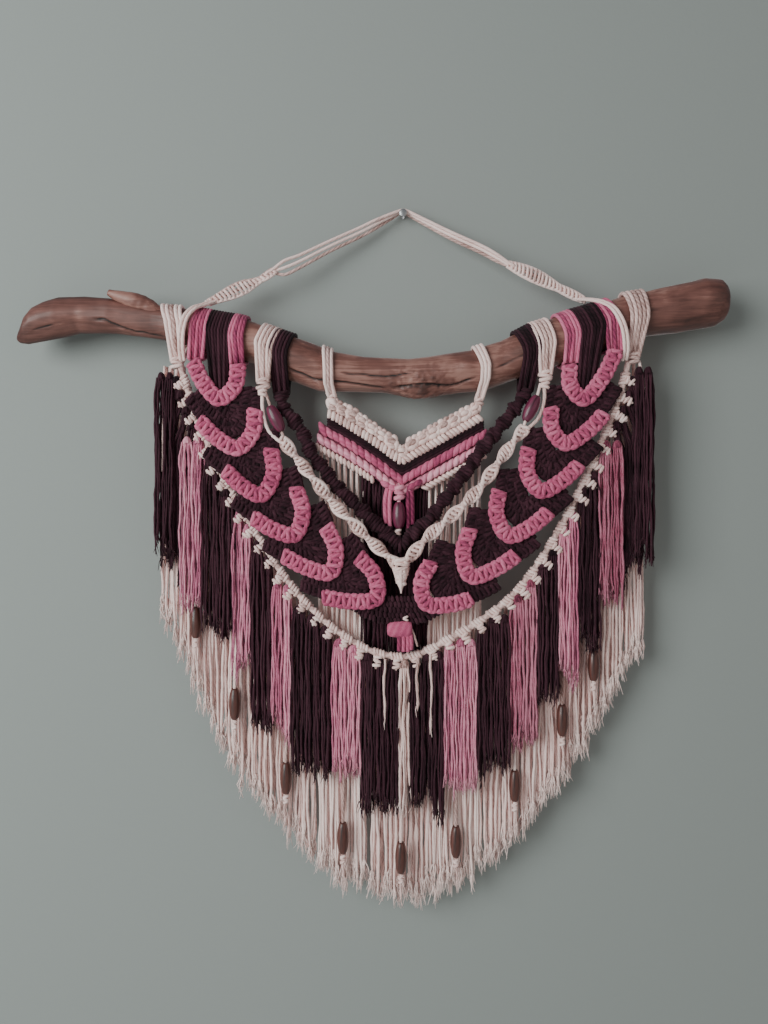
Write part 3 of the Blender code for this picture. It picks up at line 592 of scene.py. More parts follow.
def revolved(profile: Array | list, centre: tuple, axis: Array, segments: int = 36) -> Shell:
    """Closed ring surface: a closed outline carried round an axis.

    Args:
        profile: Closed outline as (radius, height), from the top of the outside downwards.
        centre: Where the outline's height is zero on the axis.
        axis: Direction of the axis.
        segments: Steps round the axis.

    Returns:
        Shell with U round the axis and V along it, in metres.
    """
    outline = np.asarray(profile, dtype=float)
    up = unit(np.asarray(axis, dtype=float))
    right = unit(np.cross(up, FRONT))
    ahead = np.cross(up, right)
    turn = np.linspace(0.0, 2 * math.pi, segments, endpoint=False)[:, None]
    round_axis = np.cos(turn) * right + np.sin(turn) * ahead
    points = (np.asarray(centre, dtype=float) + outline[None, :, :1] * round_axis[:, None]
              + outline[None, :, 1:] * up).reshape(-1, 3)
    size = len(outline)
    i = np.arange(segments)[:, None]
    j = np.arange(size)[None, :]
    near, far = i * size, (i + 1) % segments * size
    after = (j + 1) % size
    quads = np.stack([near + j, near + after, far + after, far + j], axis=-1).reshape(-1)
    u0, u1 = (np.broadcast_to((i + k) / segments, (segments, size)) for k in (0, 1))
    v0, v1 = (np.broadcast_to(outline[at, 1] * MM, (segments, size)) for at in (j, after))
    uv = np.stack([np.stack(pair, axis=-1) for pair in ((u0, v0), (u0, v1), (u1, v1), (u1, v0))],
                  axis=-2).reshape(-1, 2)
    return Shell(points, quads, np.full(segments * size, 4), uv, np.full(len(points), 0.5))


@dataclass(frozen=True)
class Loops:
    """How closed loops of cord are laid round a path to make hitches or a braid of knots."""

    spacing: float
    half_width: float
    half_depth: float
    cord: float
    lean: float = 0.0
    alternate: bool = False
    turn: float = 0.0
    phase: float = 0.0
    sides: int = 5
    stations: int = 10
    jitter: float = 0.06

    def along(self, path: Array, rng: Random, swell: list | None = None) -> Shell:
        """Lay the loops: each is a rounded oblong, square to the path or leaning, and may turn.

        Args:
            path: Path that the loops go round.
            rng: Source of the small differences between loops.
            swell: Factors on the loops' size, spread evenly along the path.

        Returns:
            Shell of all the loops.
        """
        length = length_of(path)
        count = max(2, round(length / self.spacing) + 1)
        centres = even_path(path, count)
        tangent = unit(np.gradient(centres, axis=0))
        side = unit(np.cross(tangent, FRONT))
        face = np.cross(side, tangent)
        angle = (self.phase + self.turn * np.linspace(0.0, length, count))[:, None]
        wide = np.cos(angle) * side + np.sin(angle) * face
        deep = np.cos(angle) * face - np.sin(angle) * side
        size = 1 + self.jitter * rng.standard_normal((count, 1, 1))
        if swell is not None:
            spread = np.linspace(0.0, 1.0, len(swell))
            size = size * np.interp(np.linspace(0.0, 1.0, count), spread, swell)[:, None, None]
        centres = centres + tangent * self.jitter * self.spacing * rng.standard_normal((count, 1))
        way = np.where(np.arange(count) % 2, -1.0, 1.0) if self.alternate else np.ones(count)
        turn = np.linspace(0.0, 2 * math.pi, self.stations, endpoint=False)
        cos, sin = (np.sign(part) * np.abs(part) ** 0.8 for part in (np.cos(turn), np.sin(turn)))
        paths = (centres[:, None] + size * self.half_width * cos[None, :, None] * wide[:, None]
                 + size * self.half_depth * sin[None, :, None] * deep[:, None]
                 + (way[:, None] * self.lean * cos)[:, :, None] * tangent[:, None])
        shade = 0.3 + 0.55 * rng.random(count)
        return sweep(paths, self.cord, self.sides, closed=True, shade=shade)


def gather(x: float, y: float, z: float, half_width: float, cord: float, count: int,
           rng: Random, half_depth: float = 3.0) -> Shell:
    """Gathering knot: a few level wraps of cord one below another round a bundle of strands.

    Args:
        x: Middle of the knot across.
        y: Its depth.
        z: Height of its top wrap.
        half_width: Half its width, to the middle of the cord.
        cord: Radius of the cord.
        count: How many wraps.
        rng: Source of the small differences between wraps.
        half_depth: Half its depth, to the middle of the cord.

    Returns:
        Shell of the wraps.
    """
    pitch = 1.9 * cord
    path = np.array([(x, y, z), (x, y, z - pitch * (count - 1) - 0.01)])
    wraps = Loops(pitch, half_width, half_depth, cord, lean=0.8, alternate=True)
    return wraps.along(path, rng)


@dataclass(frozen=True)
class Strings:
    """Loose hanging strings: they gather at the top, sway a little and fray at the bottom."""

    radius: float
    stations: int
    sway: float
    waves: tuple[float, float, float]
    knee: float = 26.0
    sides: int = 5
    fibres: int = 4
    fray: float = 11.0

    def hang(self, tops: Array, feet: Array, rng: Random,
             tint: Array | float = 0.0) -> list[Shell]:
        """Hang a string from each top to each foot.

        Each string runs from its top out to its own column within the knee, and waves along three
        sines whose size grows from nothing at the top. It swells and thins along another sine, the
        strings at the back are painted darker as painted shade, and fine fibres splay out of its
        foot, painted lighter than the string as painted light.

        Args:
            tops: Upper ends, one a row.
            feet: Lower ends, one a row.
            rng: Source of the differences between strings.
            tint: How much lighter each string is. Tassels give each bunch a random tone with it,
                and the fringe's centre groups get painted light with it.

        Returns:
            Shells of the strings and of their fibres.
        """
        count = len(tops)
        share = np.linspace(0.0, 1.0, self.stations)
        drop = (tops[:, 2] - feet[:, 2])[:, None]
        spread = np.clip(share[None] * drop / self.knee, 0.0, 1.0)
        ease = (spread * spread * (3 - 2 * spread))[:, :, None]
        paths = tops[:, None] * (1 - ease) + feet[:, None] * ease
        paths[:, :, 2] = tops[:, 2, None] - share * drop
        for wave, size in zip(self.waves, (0.35, 0.8, 1.5)):
            for axis, part in ((0, 1.0), (1, 0.6)):
                phase = rng.random((count, 1)) * 2 * math.pi
                own = rng.uniform(0.8, 1.25, (count, 1))
                bend = np.sin(2 * math.pi * share * drop * own / wave + phase) - np.sin(phase)
                paths[:, :, axis] += part * size * self.sway * bend * spread
        thick = self.radius * rng.uniform(0.8, 1.15, (count, 1))
        uneven = 1 + 0.14 * np.sin(share * drop * rng.uniform(0.2, 0.3, (count, 1)) + phase)
        thin = np.clip((1 - share) * 14, 0.45, 1.0)
        # Painted shade: the further back a string hangs, the darker its shade.
        depth = tops[:, 1].max() - tops[:, 1]
        shade = 0.1 + 0.45 * rng.random(count) + 0.4 * depth / max(depth.max(), 1.0) + tint
        shells = [sweep(paths, thick * uneven * thin, self.sides, shade=shade)]
        if self.fibres:
            # Painted light: the fibres are painted 0.4 lighter than their string.
            shells.append(self.frayed(paths[:, -2], np.repeat(shade + 0.4, self.fibres), rng))
        return shells

    def frayed(self, feet: Array, shade: Array, rng: Random) -> Shell:
        """Splay fine fibres out of each foot, each a half wave that drifts to one side.

        Args:
            feet: Where the fibres start, one a row.
            shade: Shade of each fibre.
            rng: Source of the differences between fibres.

        Returns:
            Shell of the fibres.
        """
        starts = np.repeat(feet, self.fibres, axis=0)
        starts = starts + rng.normal(0.0, 0.35 * self.radius, starts.shape)
        count = len(starts)
        reach = self.fray * rng.uniform(0.45, 1.35, (count, 1))
        share = np.linspace(0.0, 1.0, 4)[None]
        drift = rng.normal(0.0, 0.13, (count, 2)) * reach
        curl = rng.normal(0.0, 0.06, (count, 2)) * reach
        paths = np.empty((count, 4, 3))
        for axis in (0, 1):
            paths[:, :, axis] = (starts[:, axis, None] + drift[:, axis, None] * share
                                 + curl[:, axis, None] * np.sin(math.pi * 1.5 * share))
        paths[:, :, 2] = starts[:, 2, None] - reach * share
        return sweep(paths, np.linspace(0.55, 0.2, 4)[None] * self.radius, 3, shade=shade)


# ---------------------------------------------------------------- branch and nail


@dataclass
class Branch:
    """Driftwood branch: a long bowed limb with a broken twig on top and a burl below."""

    top: list = field(default_factory=lambda: [
        (-409.5, -138), (-404, -128), (-398, -115), (-391, -107), (-380, -101.5), (-365, -97.3),
        (-336, -96.1), (-310, -97.5), (-264, -107.7), (-232.6, -109.8), (-168, -119.4),
        (-114, -139), (-76, -155), (-42, -159.6), (5, -161.5), (26, -159.6), (52.5, -156),
        (72.6, -153), (102, -143.2), (132, -126.8), (172, -114), (192, -109), (232.6, -96),
        (258, -91.3), (284.5, -84.4), (316, -76.5), (334, -78), (340, -83), (344.9, -96)])
    bottom: list = field(default_factory=lambda: [
        (-409.5, -144), (-404, -145.5), (-398, -146), (-365, -138.5), (-342.7, -133.2),
        (-302.5, -135.3), (-256, -140.6), (-215.6, -150), (-157, -167), (-124.5, -183),
        (-89.5, -194.6), (-69.4, -195.7), (-29, -197.3), (-8, -199), (15.4, -200), (46, -198),
        (72.6, -195.7), (90.6, -192.5), (132, -179.2), (172, -167), (224, -147), (258, -138),
        (290, -134.7), (329, -126.8), (338, -121), (344.9, -114)])
    # Cracks along the front: points (x, z), half width and depth.
    cracks: list = field(default_factory=lambda: [
        ([(-332, -118), (-318, -119.5), (-295, -129), (-256, -136)], 1.3, 2.6),
        ([(-398, -131), (-369, -123.5)], 0.8, 1.2),
        ([(-125.5, -170), (-95, -183), (-62, -186), (-16.5, -192)], 1.5, 3.0),
        ([(-12, -191), (25, -188.5), (50, -190), (78, -181)], 1.6, 3.2),
        ([(-70, -176), (-20, -180), (12, -176)], 1.0, 1.8),
        ([(96, -172), (128, -158), (150, -149)], 1.0, 1.8),
        ([(-250, -118), (-215, -124)], 1.0, 1.8)])
    # The cracks lie in front of the wall, so they are drawn in towards the middle of the view.
    view_middle: tuple[float, float] = (-20.7, -323.9)
    drawn_in: float = 0.978
    # The broken twig: points (x, y, z) and radii.
    twig: list = field(default_factory=lambda: [
        (-256, -41, -117), (-272, -43, -107), (-289, -46, -101), (-302, -47, -97),
        (-309, -47, -94)])
    twig_radii: tuple = (7.0, 9.2, 9.4, 6.8, 3.4)
    round_left: float = 4.0
    round_right: float = 7.0
    stations: int = 400
    sides: int = 96

    def middle(self, x: Array | float) -> tuple[Array, Array]:
        """Height of the branch's middle and its radius at x."""
        high = np.interp(x, *np.array(self.top).T)
        low = np.interp(x, *np.array(self.bottom).T)
        return (high + low) / 2, (high - low) / 2

    def radius(self, x: Array | float, angle: Array | float) -> Array:
        """Distance from the middle to the wood at x and an angle, 0 at the front and 90 degrees up.

        The radius swells and shrinks with two slow waves, and takes the humps of the twig's root,
        the burl, a knot and the stub of a side shoot.

        Args:
            x: Place along the branch.
            angle: Angle round it, in radians.

        Returns:
            The radius in millimetres.
        """
        _, radius = self.middle(x)
        wave = 0.03 * np.sin(3 * angle + x / 37) * np.sin(x / 61 + angle)
        wave = wave + 0.018 * np.sin(2 * angle - x / 23 + 1.3)
        twig = self.hump(x, angle, -276, 85, 15, 24) * 3.0
        burl = self.hump(x, angle, 18, -72, 26, 44) * 5.0
        knot = self.hump(x, angle, 66, 12, 9, 22) * 2.5
        stub = self.hump(x, angle, -86, -62, 6, 16) * 3.0
        return radius * (1 + wave) + twig + burl + knot + stub

    @staticmethod
    def hump(x: Array | float, angle: Array | float, at: float, turn: float, run: float,
             width: float) -> Array:
        """Bell-shaped hump centred at x = at and an angle in degrees, run long and width wide."""
        away = (np.degrees(angle) - turn + 180) % 360 - 180
        return np.exp(-((x - at) / run) ** 2 - (away / width) ** 2)

    @staticmethod
    def grain(u: Array, v: Array, wrap: int, rng: Random) -> Array:
        """Smooth noise from -1 to 1 on a lattice whose second axis wraps round the branch."""
        grid = rng.uniform(-1, 1, (97, wrap))
        row, column = np.floor(u).astype(int), np.floor(v).astype(int)
        s, t = u - row, v - column
        s, t = s * s * (3 - 2 * s), t * t * (3 - 2 * t)
        corner = {(a, b): grid[(row + a) % 97, (column + b) % wrap] for a in (0, 1) for b in (0, 1)}
        near = corner[0, 0] * (1 - t) + corner[0, 1] * t
        far = corner[1, 0] * (1 - t) + corner[1, 1] * t
        return near * (1 - s) + far * s

    def build(self) -> None:
        """Carry lumpy rings along the branch, cut grain, bark and cracks in, and add the twig."""
        rng = drawn("branch")
        first, last = self.top[0][0], self.top[-1][0]
        start, stop = first + self.round_left, last - self.round_right
        ends = 1 - np.cos(np.linspace(0, math.pi / 2, 14))
        x = np.concatenate([first + self.round_left * ends[:-1],
                            np.linspace(start, stop, self.stations),
                            last - self.round_right * ends[::-1][1:]])
        inner = np.minimum((x - first) / self.round_left, (last - x) / self.round_right)
        rounding = np.sqrt(np.clip(1 - (1 - np.clip(inner, 0, 1)) ** 2, 0.0004, 1))[:, None]
        angle = np.linspace(0, 2 * math.pi, self.sides, endpoint=False)[None]
        at = np.broadcast_to(x[:, None], (len(x), self.sides))
        turn = angle / (2 * math.pi)
        radius = self.radius(at, np.broadcast_to(angle, at.shape))
        radius = radius + 0.9 * self.grain(at / 44, turn * 9, 9, rng)
        groove = self.grain(at / 62, turn * 26, 26, rng)
        radius = radius - 0.7 * np.clip(groove - 0.25, 0, 1)
        radius = radius + 0.16 * self.grain(at / 17, turn * 60, 60, rng)
        bark = np.clip(self.hump(at, angle, 18, -40, 34, 52) * 1.6, 0, 1)
        rough = self.grain(at / 5.0, turn * 40, 40, rng)
        rough = rough + 0.6 * self.grain(at / 2.6, turn * 64, 64, rng)
        radius = radius + 1.5 * bark * np.abs(rough)
        middle, _ = self.middle(x)
        # Painted shade: the grooves are darker where they are cut in; the bark's darker tone is its
        # own.
        dark = np.clip(groove - 0.35, 0, 1) * 0.25 + 0.35 * bark * np.clip(rough, 0, 1)
        for points, width, depth in self.cracks:
            line = np.array(points, dtype=float) - self.view_middle
            line = self.view_middle + line * self.drawn_in
            height = np.interp(at, line[:, 0], line[:, 1]) - middle[:, None]
            centre = np.arcsin(np.clip(height / np.maximum(radius, 1), -0.98, 0.98))
            wander = 0.8 * self.grain(at / 8, np.full(at.shape, 2.5), 5, rng)
            away = ((angle - centre + math.pi) % (2 * math.pi) - math.pi) * radius + wander
            span = np.clip((at - line[0, 0]) / 9, 0, 1) * np.clip((line[-1, 0] - at) / 9, 0, 1)
            cut = np.exp(-(away / (0.8 * width)) ** 2) * span
            radius = radius - depth * cut
            # Painted shade: each crack is darker the deeper it is cut.
            dark = np.maximum(dark, cut**1.4)
        # Both ends of the branch are darker than its middle.
        dark = dark + 0.27 * np.clip((-at - 150) / 110, 0, 1)
        dark = dark + 0.15 * np.clip((at - 190) / 80, 0, 1)
        ring = radius * rounding
        points = np.stack([at, BRANCH_Y - ring * np.cos(angle),
                           middle[:, None] + ring * np.sin(angle)], axis=-1)
        limb = smooth_path(self.twig, 40)
        size = np.interp(np.linspace(0, 4, 40), range(5), self.twig_radii)
        size = size * (1 + 0.09 * self.grain(np.arange(40) / 3, np.full(40, 1.5), 5, rng))
        stub = sweep(limb, size, 24, shade=0.0)
        put("driftwood_branch_worn", [self.skin(points, dark), stub], Dye.WOOD, "driftwood_branch")

    @staticmethod
    def skin(points: Array, shade: Array) -> Shell:
        """Close a grid of rings into a shell.

        Args:
            points: Array of ring, side and (x, y, z).
            shade: Shade of each point.

        Returns:
            Shell with a cap on each end ring.
        """
        rings, sides = points.shape[:2]
        i = np.arange(rings - 1)[:, None] * sides
        j = np.arange(sides)[None]
        after = (j + 1) % sides
        quads = np.stack([i + j, i + sides + j, i + sides + after, i + after], axis=-1).reshape(-1)
        start = np.arange(sides)
        corners = np.concatenate([quads, start, start[::-1] + (rings - 1) * sides])
        counts = np.concatenate([np.full((rings - 1) * sides, 4), (sides, sides)])
        uv = np.zeros((len(corners), 2))
        return Shell(points.reshape(-1, 3), corners, counts, uv, shade.reshape(-1))


@dataclass
class Nail:
    """Steel nail with a round head, cut off at the wall."""

    shank: float = 1.5
    head: float = 4.2
    length: float = 16.0
    head_depth: float = 1.5

    def build(self) -> None:
        """Carry a round section along the nail's axis, wide at the head with softened edges."""
        front = -self.length - self.head_depth
        steps = [(front - 0.01, 0.2), (front, self.head * 0.86), (front + 0.25, self.head * 0.97),
                 (front + 0.6, self.head), (front + 1.1, self.head * 0.96),
                 (front + self.head_depth, self.shank * 1.5), (front + 2.6, self.shank),
                 (-8.0, self.shank), (-0.2, self.shank), (0.0, self.shank * 0.9)]
        path = np.array([(0.0, y, 0.0) for y, _ in steps])
        put("nail_round_head", [sweep(path, np.array([r for _, r in steps]), 28, shade=0.5)],
            Dye.STEEL, "nail")


# ---------------------------------------------------------------- cords over the branch


@dataclass(frozen=True)
class Mount:
    """Strands side by side that pass over the branch and gather at a knot below it.

    The pairs are the first and last strand's places across: on top of the branch, at its front
    and at the knot.
    """

    top: tuple[float, float]
    front: tuple[float, float]
    knot: tuple[float, float]
    height: float
    depth: float
    strands: int
    cord: float
    knot_depth: float = 1.5

    def shell(self, branch: Branch, rng: Random) -> Shell:
        """Lead each strand up the front from the knot, round the branch and down the back.

        Args:
            branch: The branch that the strands hug.
            rng: Source of the strands' shades.

        Returns:
            Shell of the strands.
        """
        paths = []
        for k, share in enumerate(np.linspace(0, 1, self.strands)):
            over, front, low = (a + (b - a) * share for a, b in (self.top, self.front, self.knot))
            shift = self.knot_depth * (1 if k % 2 else -1)
            paths.append(self.path(branch, over, front, low, shift))
        return sweep(np.array(paths), self.cord, 8, rng=rng)

    def path(self, branch: Branch, over: float, front: float, low: float, shift: float) -> Array:
        """Path of one strand: straight legs that touch the branch, and the arc between them.

        Args:
            branch: The branch that the strand hugs.
            over: Where it crosses the top of the branch.
            front: Where it passes the front.
            low: Where it meets the knot.
            shift: How far behind the knot's middle it ends.

        Returns:
            Points of the path.
        """
        middle, _ = branch.middle(front)
        size = float(branch.radius(front, math.radians(20))) + self.cord + 0.5
        ahead, below = BRANCH_Y - (self.depth + shift), self.height - float(middle)
        lean = math.atan2(below, ahead)
        touch = math.acos(min(1.0, size / math.hypot(ahead, below)))
        angles = np.linspace(lean + touch, lean - touch + 2 * math.pi, 34)
        rise = np.clip(np.sin(angles), 0, 1)
        x = front + (over - front) * rise
        middles, _ = branch.middle(x)
        hug = branch.radius(x, angles) + self.cord + 0.5
        arc = np.stack([x, BRANCH_Y - hug * np.cos(angles), middles + hug * np.sin(angles)], axis=1)
        knot = np.array((low, self.depth + shift, self.height))
        back = knot + (0.0, 2.4 * self.cord, 0.5)
        lead = np.linspace(0, 1, 7)[:-1, None]
        down = knot * (1 - lead) + arc[0] * lead
        up = arc[-1] * (1 - lead) + back * lead
        return smooth_path(np.vstack([down, arc[::2], up[1:], back]), 56)


@dataclass
class HangingCord:
    """Cord that the hanging hangs by: strands over the nail, a braid of half knots on each leg."""

    branch: Branch
    cord: float = 1.75
    nail_pitch: float = 4.2
    # Middle of the strands as (x, y, z), and how far apart they lie in height there.
    strands: list = field(default_factory=lambda: [
        ((-146, -35, -72.5), 0.6), ((-138, -34.5, -68.3), 1.5), ((-126, -34, -64.4), 6.8),
        ((-110, -31, -56.7), 6.0), ((-78.6, -24.5, -38.7), 4.8), ((-46.6, -18, -21.8), 4.3),
        ((-30.5, -14.8, -12.4), 3.6), ((-12, -10.6, -1.6), 1.4), ((-4, -8.6, 3.2), 0.0),
        ((0, -8.6, 4.0), 0.0), ((4, -8.6, 3.2), 0.0), ((12, -10.6, -2.0), 1.0),
        ((50.4, -20.5, -25.5), 2.9), ((82, -27, -42.2), 3.2), ((97.5, -31, -52), 3.0),
        ((111, -34.5, -61), 1.2), ((118, -35, -64.5), 0.6)])
    # Middle of each braid as (x, z), and its size from end to end.
    braids: list = field(default_factory=lambda: [
        ([(-137.4, -68.3), (-154.4, -78.9), (-178.8, -89.5), (-207, -102)],
         [0.5, 0.52, 0.36, 0.66, 1.02, 1.1, 1.02, 0.78, 0.56, 0.42]),
        ([(110.4, -60.9), (138.4, -73), (165.2, -86.5), (191, -99)],
         [0.42, 0.76, 1.0, 1.08, 1.0, 0.78, 0.5, 0.62, 0.62, 0.42])])
    bar: Loops = Loops(4.5, 5.4, 2.6, 1.65, lean=1.5, stations=14)

    def build(self) -> None:
        """Lay the strands, the two braids and the cords that pass forward over the branch."""
        rng = drawn("hanging cord")
        shells = []
        for rank in (1, 0, -1):
            path = []
            for (x, y, z), spread in self.strands:
                near_nail = max(0.0, 1 - abs(x) / 40)
                ahead = self.nail_pitch * near_nail + 2.2 * (1 - near_nail)
                path.append((x, y - rank * ahead, z + rank * spread))
            shells.append(sweep(even_path(smooth_path(path, 400), 120), self.cord, 8, rng=rng))
        for points, size in self.braids:
            shells += self.braid(smooth_path(at_depth(points, BRANCH_Y + 1), 60), size, rng)
        left = [(-203, BRANCH_Y, -100), (-212, -46, -106.5), (-220, -55.5, -112),
                (-227, -61.5, -122), (-230.5, -63.5, -136), (-232, -61, -152), (-232, -54, -166)]
        right = [(188, BRANCH_Y, -98), (199, -43, -100.5), (208, -51, -104.5),
                 (217, -60.5, -112.5), (223.5, -66, -125), (228, -67, -139), (231, -61, -155),
                 (231, -54, -166)]
        for line, way in ((left, 1), (right, -1)):
            for shift, lift in ((0.0, 0.0), (3.9, -0.6)):
                moved = [(x + way * shift, y, z + lift) for x, y, z in line]
                shells.append(sweep(smooth_path(moved, 60), self.cord, 8, rng=rng))
        put("hanging_cord_knotted", shells, Dye.CREAM, "hanging_cord")

    def braid(self, path: Array, size: list, rng: Random) -> list[Shell]:
        """Bars across a path that swell and shrink, a cord along each edge and a core in painted
        shade.

        Args:
            path: Middle of the braid.
            size: Factors on its width, spread evenly along it.
            rng: Source of the cords' shades.

        Returns:
            Shells of the bars, the core and the edges.
        """
        # Painted shade: the core cord takes the dye's deep colour and shows darker in the gaps
        # between the bars.
        shells = [self.bar.along(path, rng, size), sweep(path, 1.8, 6, shade=0.0)]
        width = np.interp(np.linspace(0, 1, len(path)), np.linspace(0, 1, len(size)), size)[:, None]
        for way in (-1, 1):
            shells.append(sweep(path + way * 5.9 * width * sideways(path), 1.75, 8, rng=rng))
        return shells


# ---------------------------------------------------------------- nets of knots


@dataclass(frozen=True)
class Leaf:
    """U of knots: the middle of its band runs from its outer end by its tip to its inner end."""

    outer: tuple[float, float]
    tip: tuple[float, float]
    inner: tuple[float, float]
    outer_bow: float = 3.6
    inner_bow: float = 7.6

    def between(self, other: Leaf) -> Leaf:
        """Leaf halfway between this one and another."""
        pairs = zip((self.outer, self.tip, self.inner), (other.outer, other.tip, other.inner))
        return Leaf(*(((a[0] + b[0]) / 2, (a[1] + b[1]) / 2) for a, b in pairs))

    def bend(self, y: float) -> Array:
        """Path of the band at the depth y: through its ends and tip, each arm bowed outwards."""
        corners = (self.outer, self.tip, self.inner)
        outer, tip, inner = (np.array(corner, dtype=float) for corner in corners)
        lower = self.bowed(outer, tip, inner, self.outer_bow)
        upper = self.bowed(tip, inner, outer, self.inner_bow)
        return smooth_path(at_depth([outer, lower, tip, upper, inner], y), 90)

    @staticmethod
    def bowed(first: Array, last: Array, away: Array, bow: float) -> Array:
        """Point halfway between two points, moved by the bow away from a third."""
        chord = last - first
        middle = (first + last) / 2
        square = unit(np.array((-chord[1], chord[0])))
        return middle + square * bow * np.sign(square @ (middle - away))

    def nubs(self, y: float, radius: float, rng: Random) -> Shell:
        """Two short ends of cord that stand out below the tip.

        Args:
            y: Depth of the band.
            radius: Radius of the cord.
            rng: Source of the cords' shades.

        Returns:
            Shell of the two ends.
        """
        tip = np.array(self.tip, dtype=float)
        out = unit(tip - (np.array(self.outer) + np.array(self.inner)) / 2)
        across = np.array((-out[1], out[0]))
        ends = []
        for way in (-1, 1):
            points = [tip + across * way * 3.6 + out * reach for reach in (1.0, 4.0, 6.4 + way)]
            ends.append(smooth_path(at_depth(points, y), 8))
        taper = np.array((1, 1.1, 1.15, 1.15, 1.1, 1, 0.8, 0.4))
        return sweep(np.array(ends), radius * taper, 8, rng=rng)


@dataclass(frozen=True)
class KnotBand:
    """Flat braid of square knots: bars across it and a cord along each edge, pinched at each knot.

    The edge cord's radius wanders by the drift from one station to the next, and the cord stands
    out by the give at each knot.
    """

    half: float = 5.6
    bar: Loops = Loops(5.1, 5.6, 2.4, 2.45, lean=1.3, alternate=True, sides=7, jitter=0.1)
    edge: float = 3.0
    knot: float = 7.4
    pinch: float = 0.42
    drift: float = 0.004
    give: float = 0.35
    stations: int = 110
    sides: int = 7

    def along(self, path: Array, rng: Random) -> list[Shell]:
        """Lay the braid's bars, its edges and the cord inside it, which is painted dark as shade.

        Args:
            path: Middle of the braid.
            rng: Source of the small differences between knots.

        Returns:
            Shells of the bars, the core and the edges.
        """
        fine = even_path(path, self.stations)
        travel = np.linspace(0, length_of(path), self.stations)
        # Painted shade: the core's shade of 0.1 gives it nearly the deep colour, darkening the gaps
        # between the bars.
        shells = [self.bar.along(path, rng), sweep(fine[::3], 3.4, 6, shade=0.1)]
        for way in (-1, 1):
            phase = self.knot * rng.random()
            away = np.abs((travel + phase) % self.knot - self.knot / 2)
            size = 1 - self.pinch * np.exp(-(away / 1.1) ** 2)
            size = size + self.drift * rng.standard_normal(self.stations).cumsum()
            swing = self.half + self.give * (1 - away / self.knot)[:, None]
            line = fine + way * swing * sideways(fine) + 0.9 * FRONT
            shade = 0.4 + 0.4 * rng.random()
            shells.append(sweep(line, self.edge * size, self.sides, shade=shade))
        return shells


class Side(Enum):
    """Left or right half of the hanging, as seen from the front."""

    LEFT = "left"
    RIGHT = "right"


@dataclass
class LeafChain:
    """Chain of rose leaves with aubergine ones between them, on one half of the hanging."""

    side: Side
    branch: Branch
    tables: dict = field(default_factory=lambda: {
        Side.LEFT: [
            Leaf((-217, -170), (-191, -207), (-171, -173)),
            Leaf((-211, -230), (-172, -258), (-154, -219)),
            Leaf((-184, -281), (-147, -306), (-137, -260)),
            Leaf((-155, -330), (-113, -347), (-111, -301)),
            Leaf((-124, -369), (-76, -386), (-80, -340)),
            Leaf((-82, -412), (-29, -413), (-46, -371))],
        Side.RIGHT: [
            Leaf((218, -159), (186, -207), (171, -173)),
            Leaf((206, -223), (167, -253), (152, -217)),
            Leaf((180, -276), (141, -302), (128, -260)),
            Leaf((148, -325), (108, -348), (98, -303)),
            Leaf((115, -369), (69, -390), (68, -342)),
            Leaf((68, -414), (23, -418), (28, -376))]})
    # Mounts of the outer end, of the aubergine leaves behind, and of the inner end.
    mounts: dict = field(default_factory=lambda: {
        Side.LEFT: (
            Mount((-214.5, -203), (-221.5, -206), (-222, -208.5), -166, LEAF_Y, 5, 2.05),
            Mount((-199.5, -178.5), (-205, -182), (-198, -184), -202, LEAF_Y + 2.5, 8, 1.85),
            Mount((-175, -164), (-181, -167.5), (-178.5, -166.5), -171, LEAF_Y, 5, 1.95)),
        Side.RIGHT: (
            Mount((199, 212), (208.5, 223.5), (211.5, 224.5), -158, LEAF_Y, 5, 1.95),
            Mount((173, 198), (183, 207), (180, 194), -202, LEAF_Y + 2.5, 8, 2.0),
            Mount((158.5, 172), (167, 181), (166, 178.5), -170, LEAF_Y, 5, 1.95))})
    knots: KnotBand = KnotBand()
    dark_knots: KnotBand = KnotBand(3.9, Loops(4.7, 4.4, 2.2, 2.4, lean=1.1, jitter=0.14),
                                    stations=66, sides=5)
    # How far the three aubergine braids lie from the middle of their leaf.
    dark_offsets: tuple = (-9.5, 0.0, 9.5)

    def build(self) -> None:
        """Lay the leaves' braids, each with a flat sheet of painted shade behind it, and the mounts
        of the chain.
        """
        leaves = self.tables[self.side]
        node = f"leaf_chain_{self.side.value}"
        rng = drawn(node)
        rose = []
        for leaf in leaves:
            bend = leaf.bend(LEAF_Y - 1.8)
            rose += self.knots.along(bend, rng)
            # Painted shade: a flat sheet in the deep rose lies behind the braid and darkens its
            # gaps.
            rose.append(sweep(bend[::2] - 1.6 * FRONT, 5.2, 8, flat=0.3, shade=0.0))
            rose.append(leaf.nubs(LEAF_Y - 2.0, 2.0, rng))
        outer, dark, inner = self.mounts[self.side]
        rose += [outer.shell(self.branch, rng), inner.shell(self.branch, rng)]
        put(f"rose_leaves_{self.side.value}", rose, Dye.ROSE, node)
        deep = [dark.shell(self.branch, rng)]
        for first, second in zip(leaves, leaves[1:]):
            bend = first.between(second).bend(LEAF_Y + 2.4)
            for offset in self.dark_offsets:
                deep += self.dark_knots.along(bend + offset * sideways(bend), rng)
            # Painted shade: a flat sheet in the deep aubergine lies behind the three braids.
            deep.append(sweep(bend[::2] - 1.2 * FRONT, 13.0, 8, flat=0.09, shade=0.0))
        put(f"aubergine_leaves_{self.side.value}", deep, Dye.AUBERGINE, node)


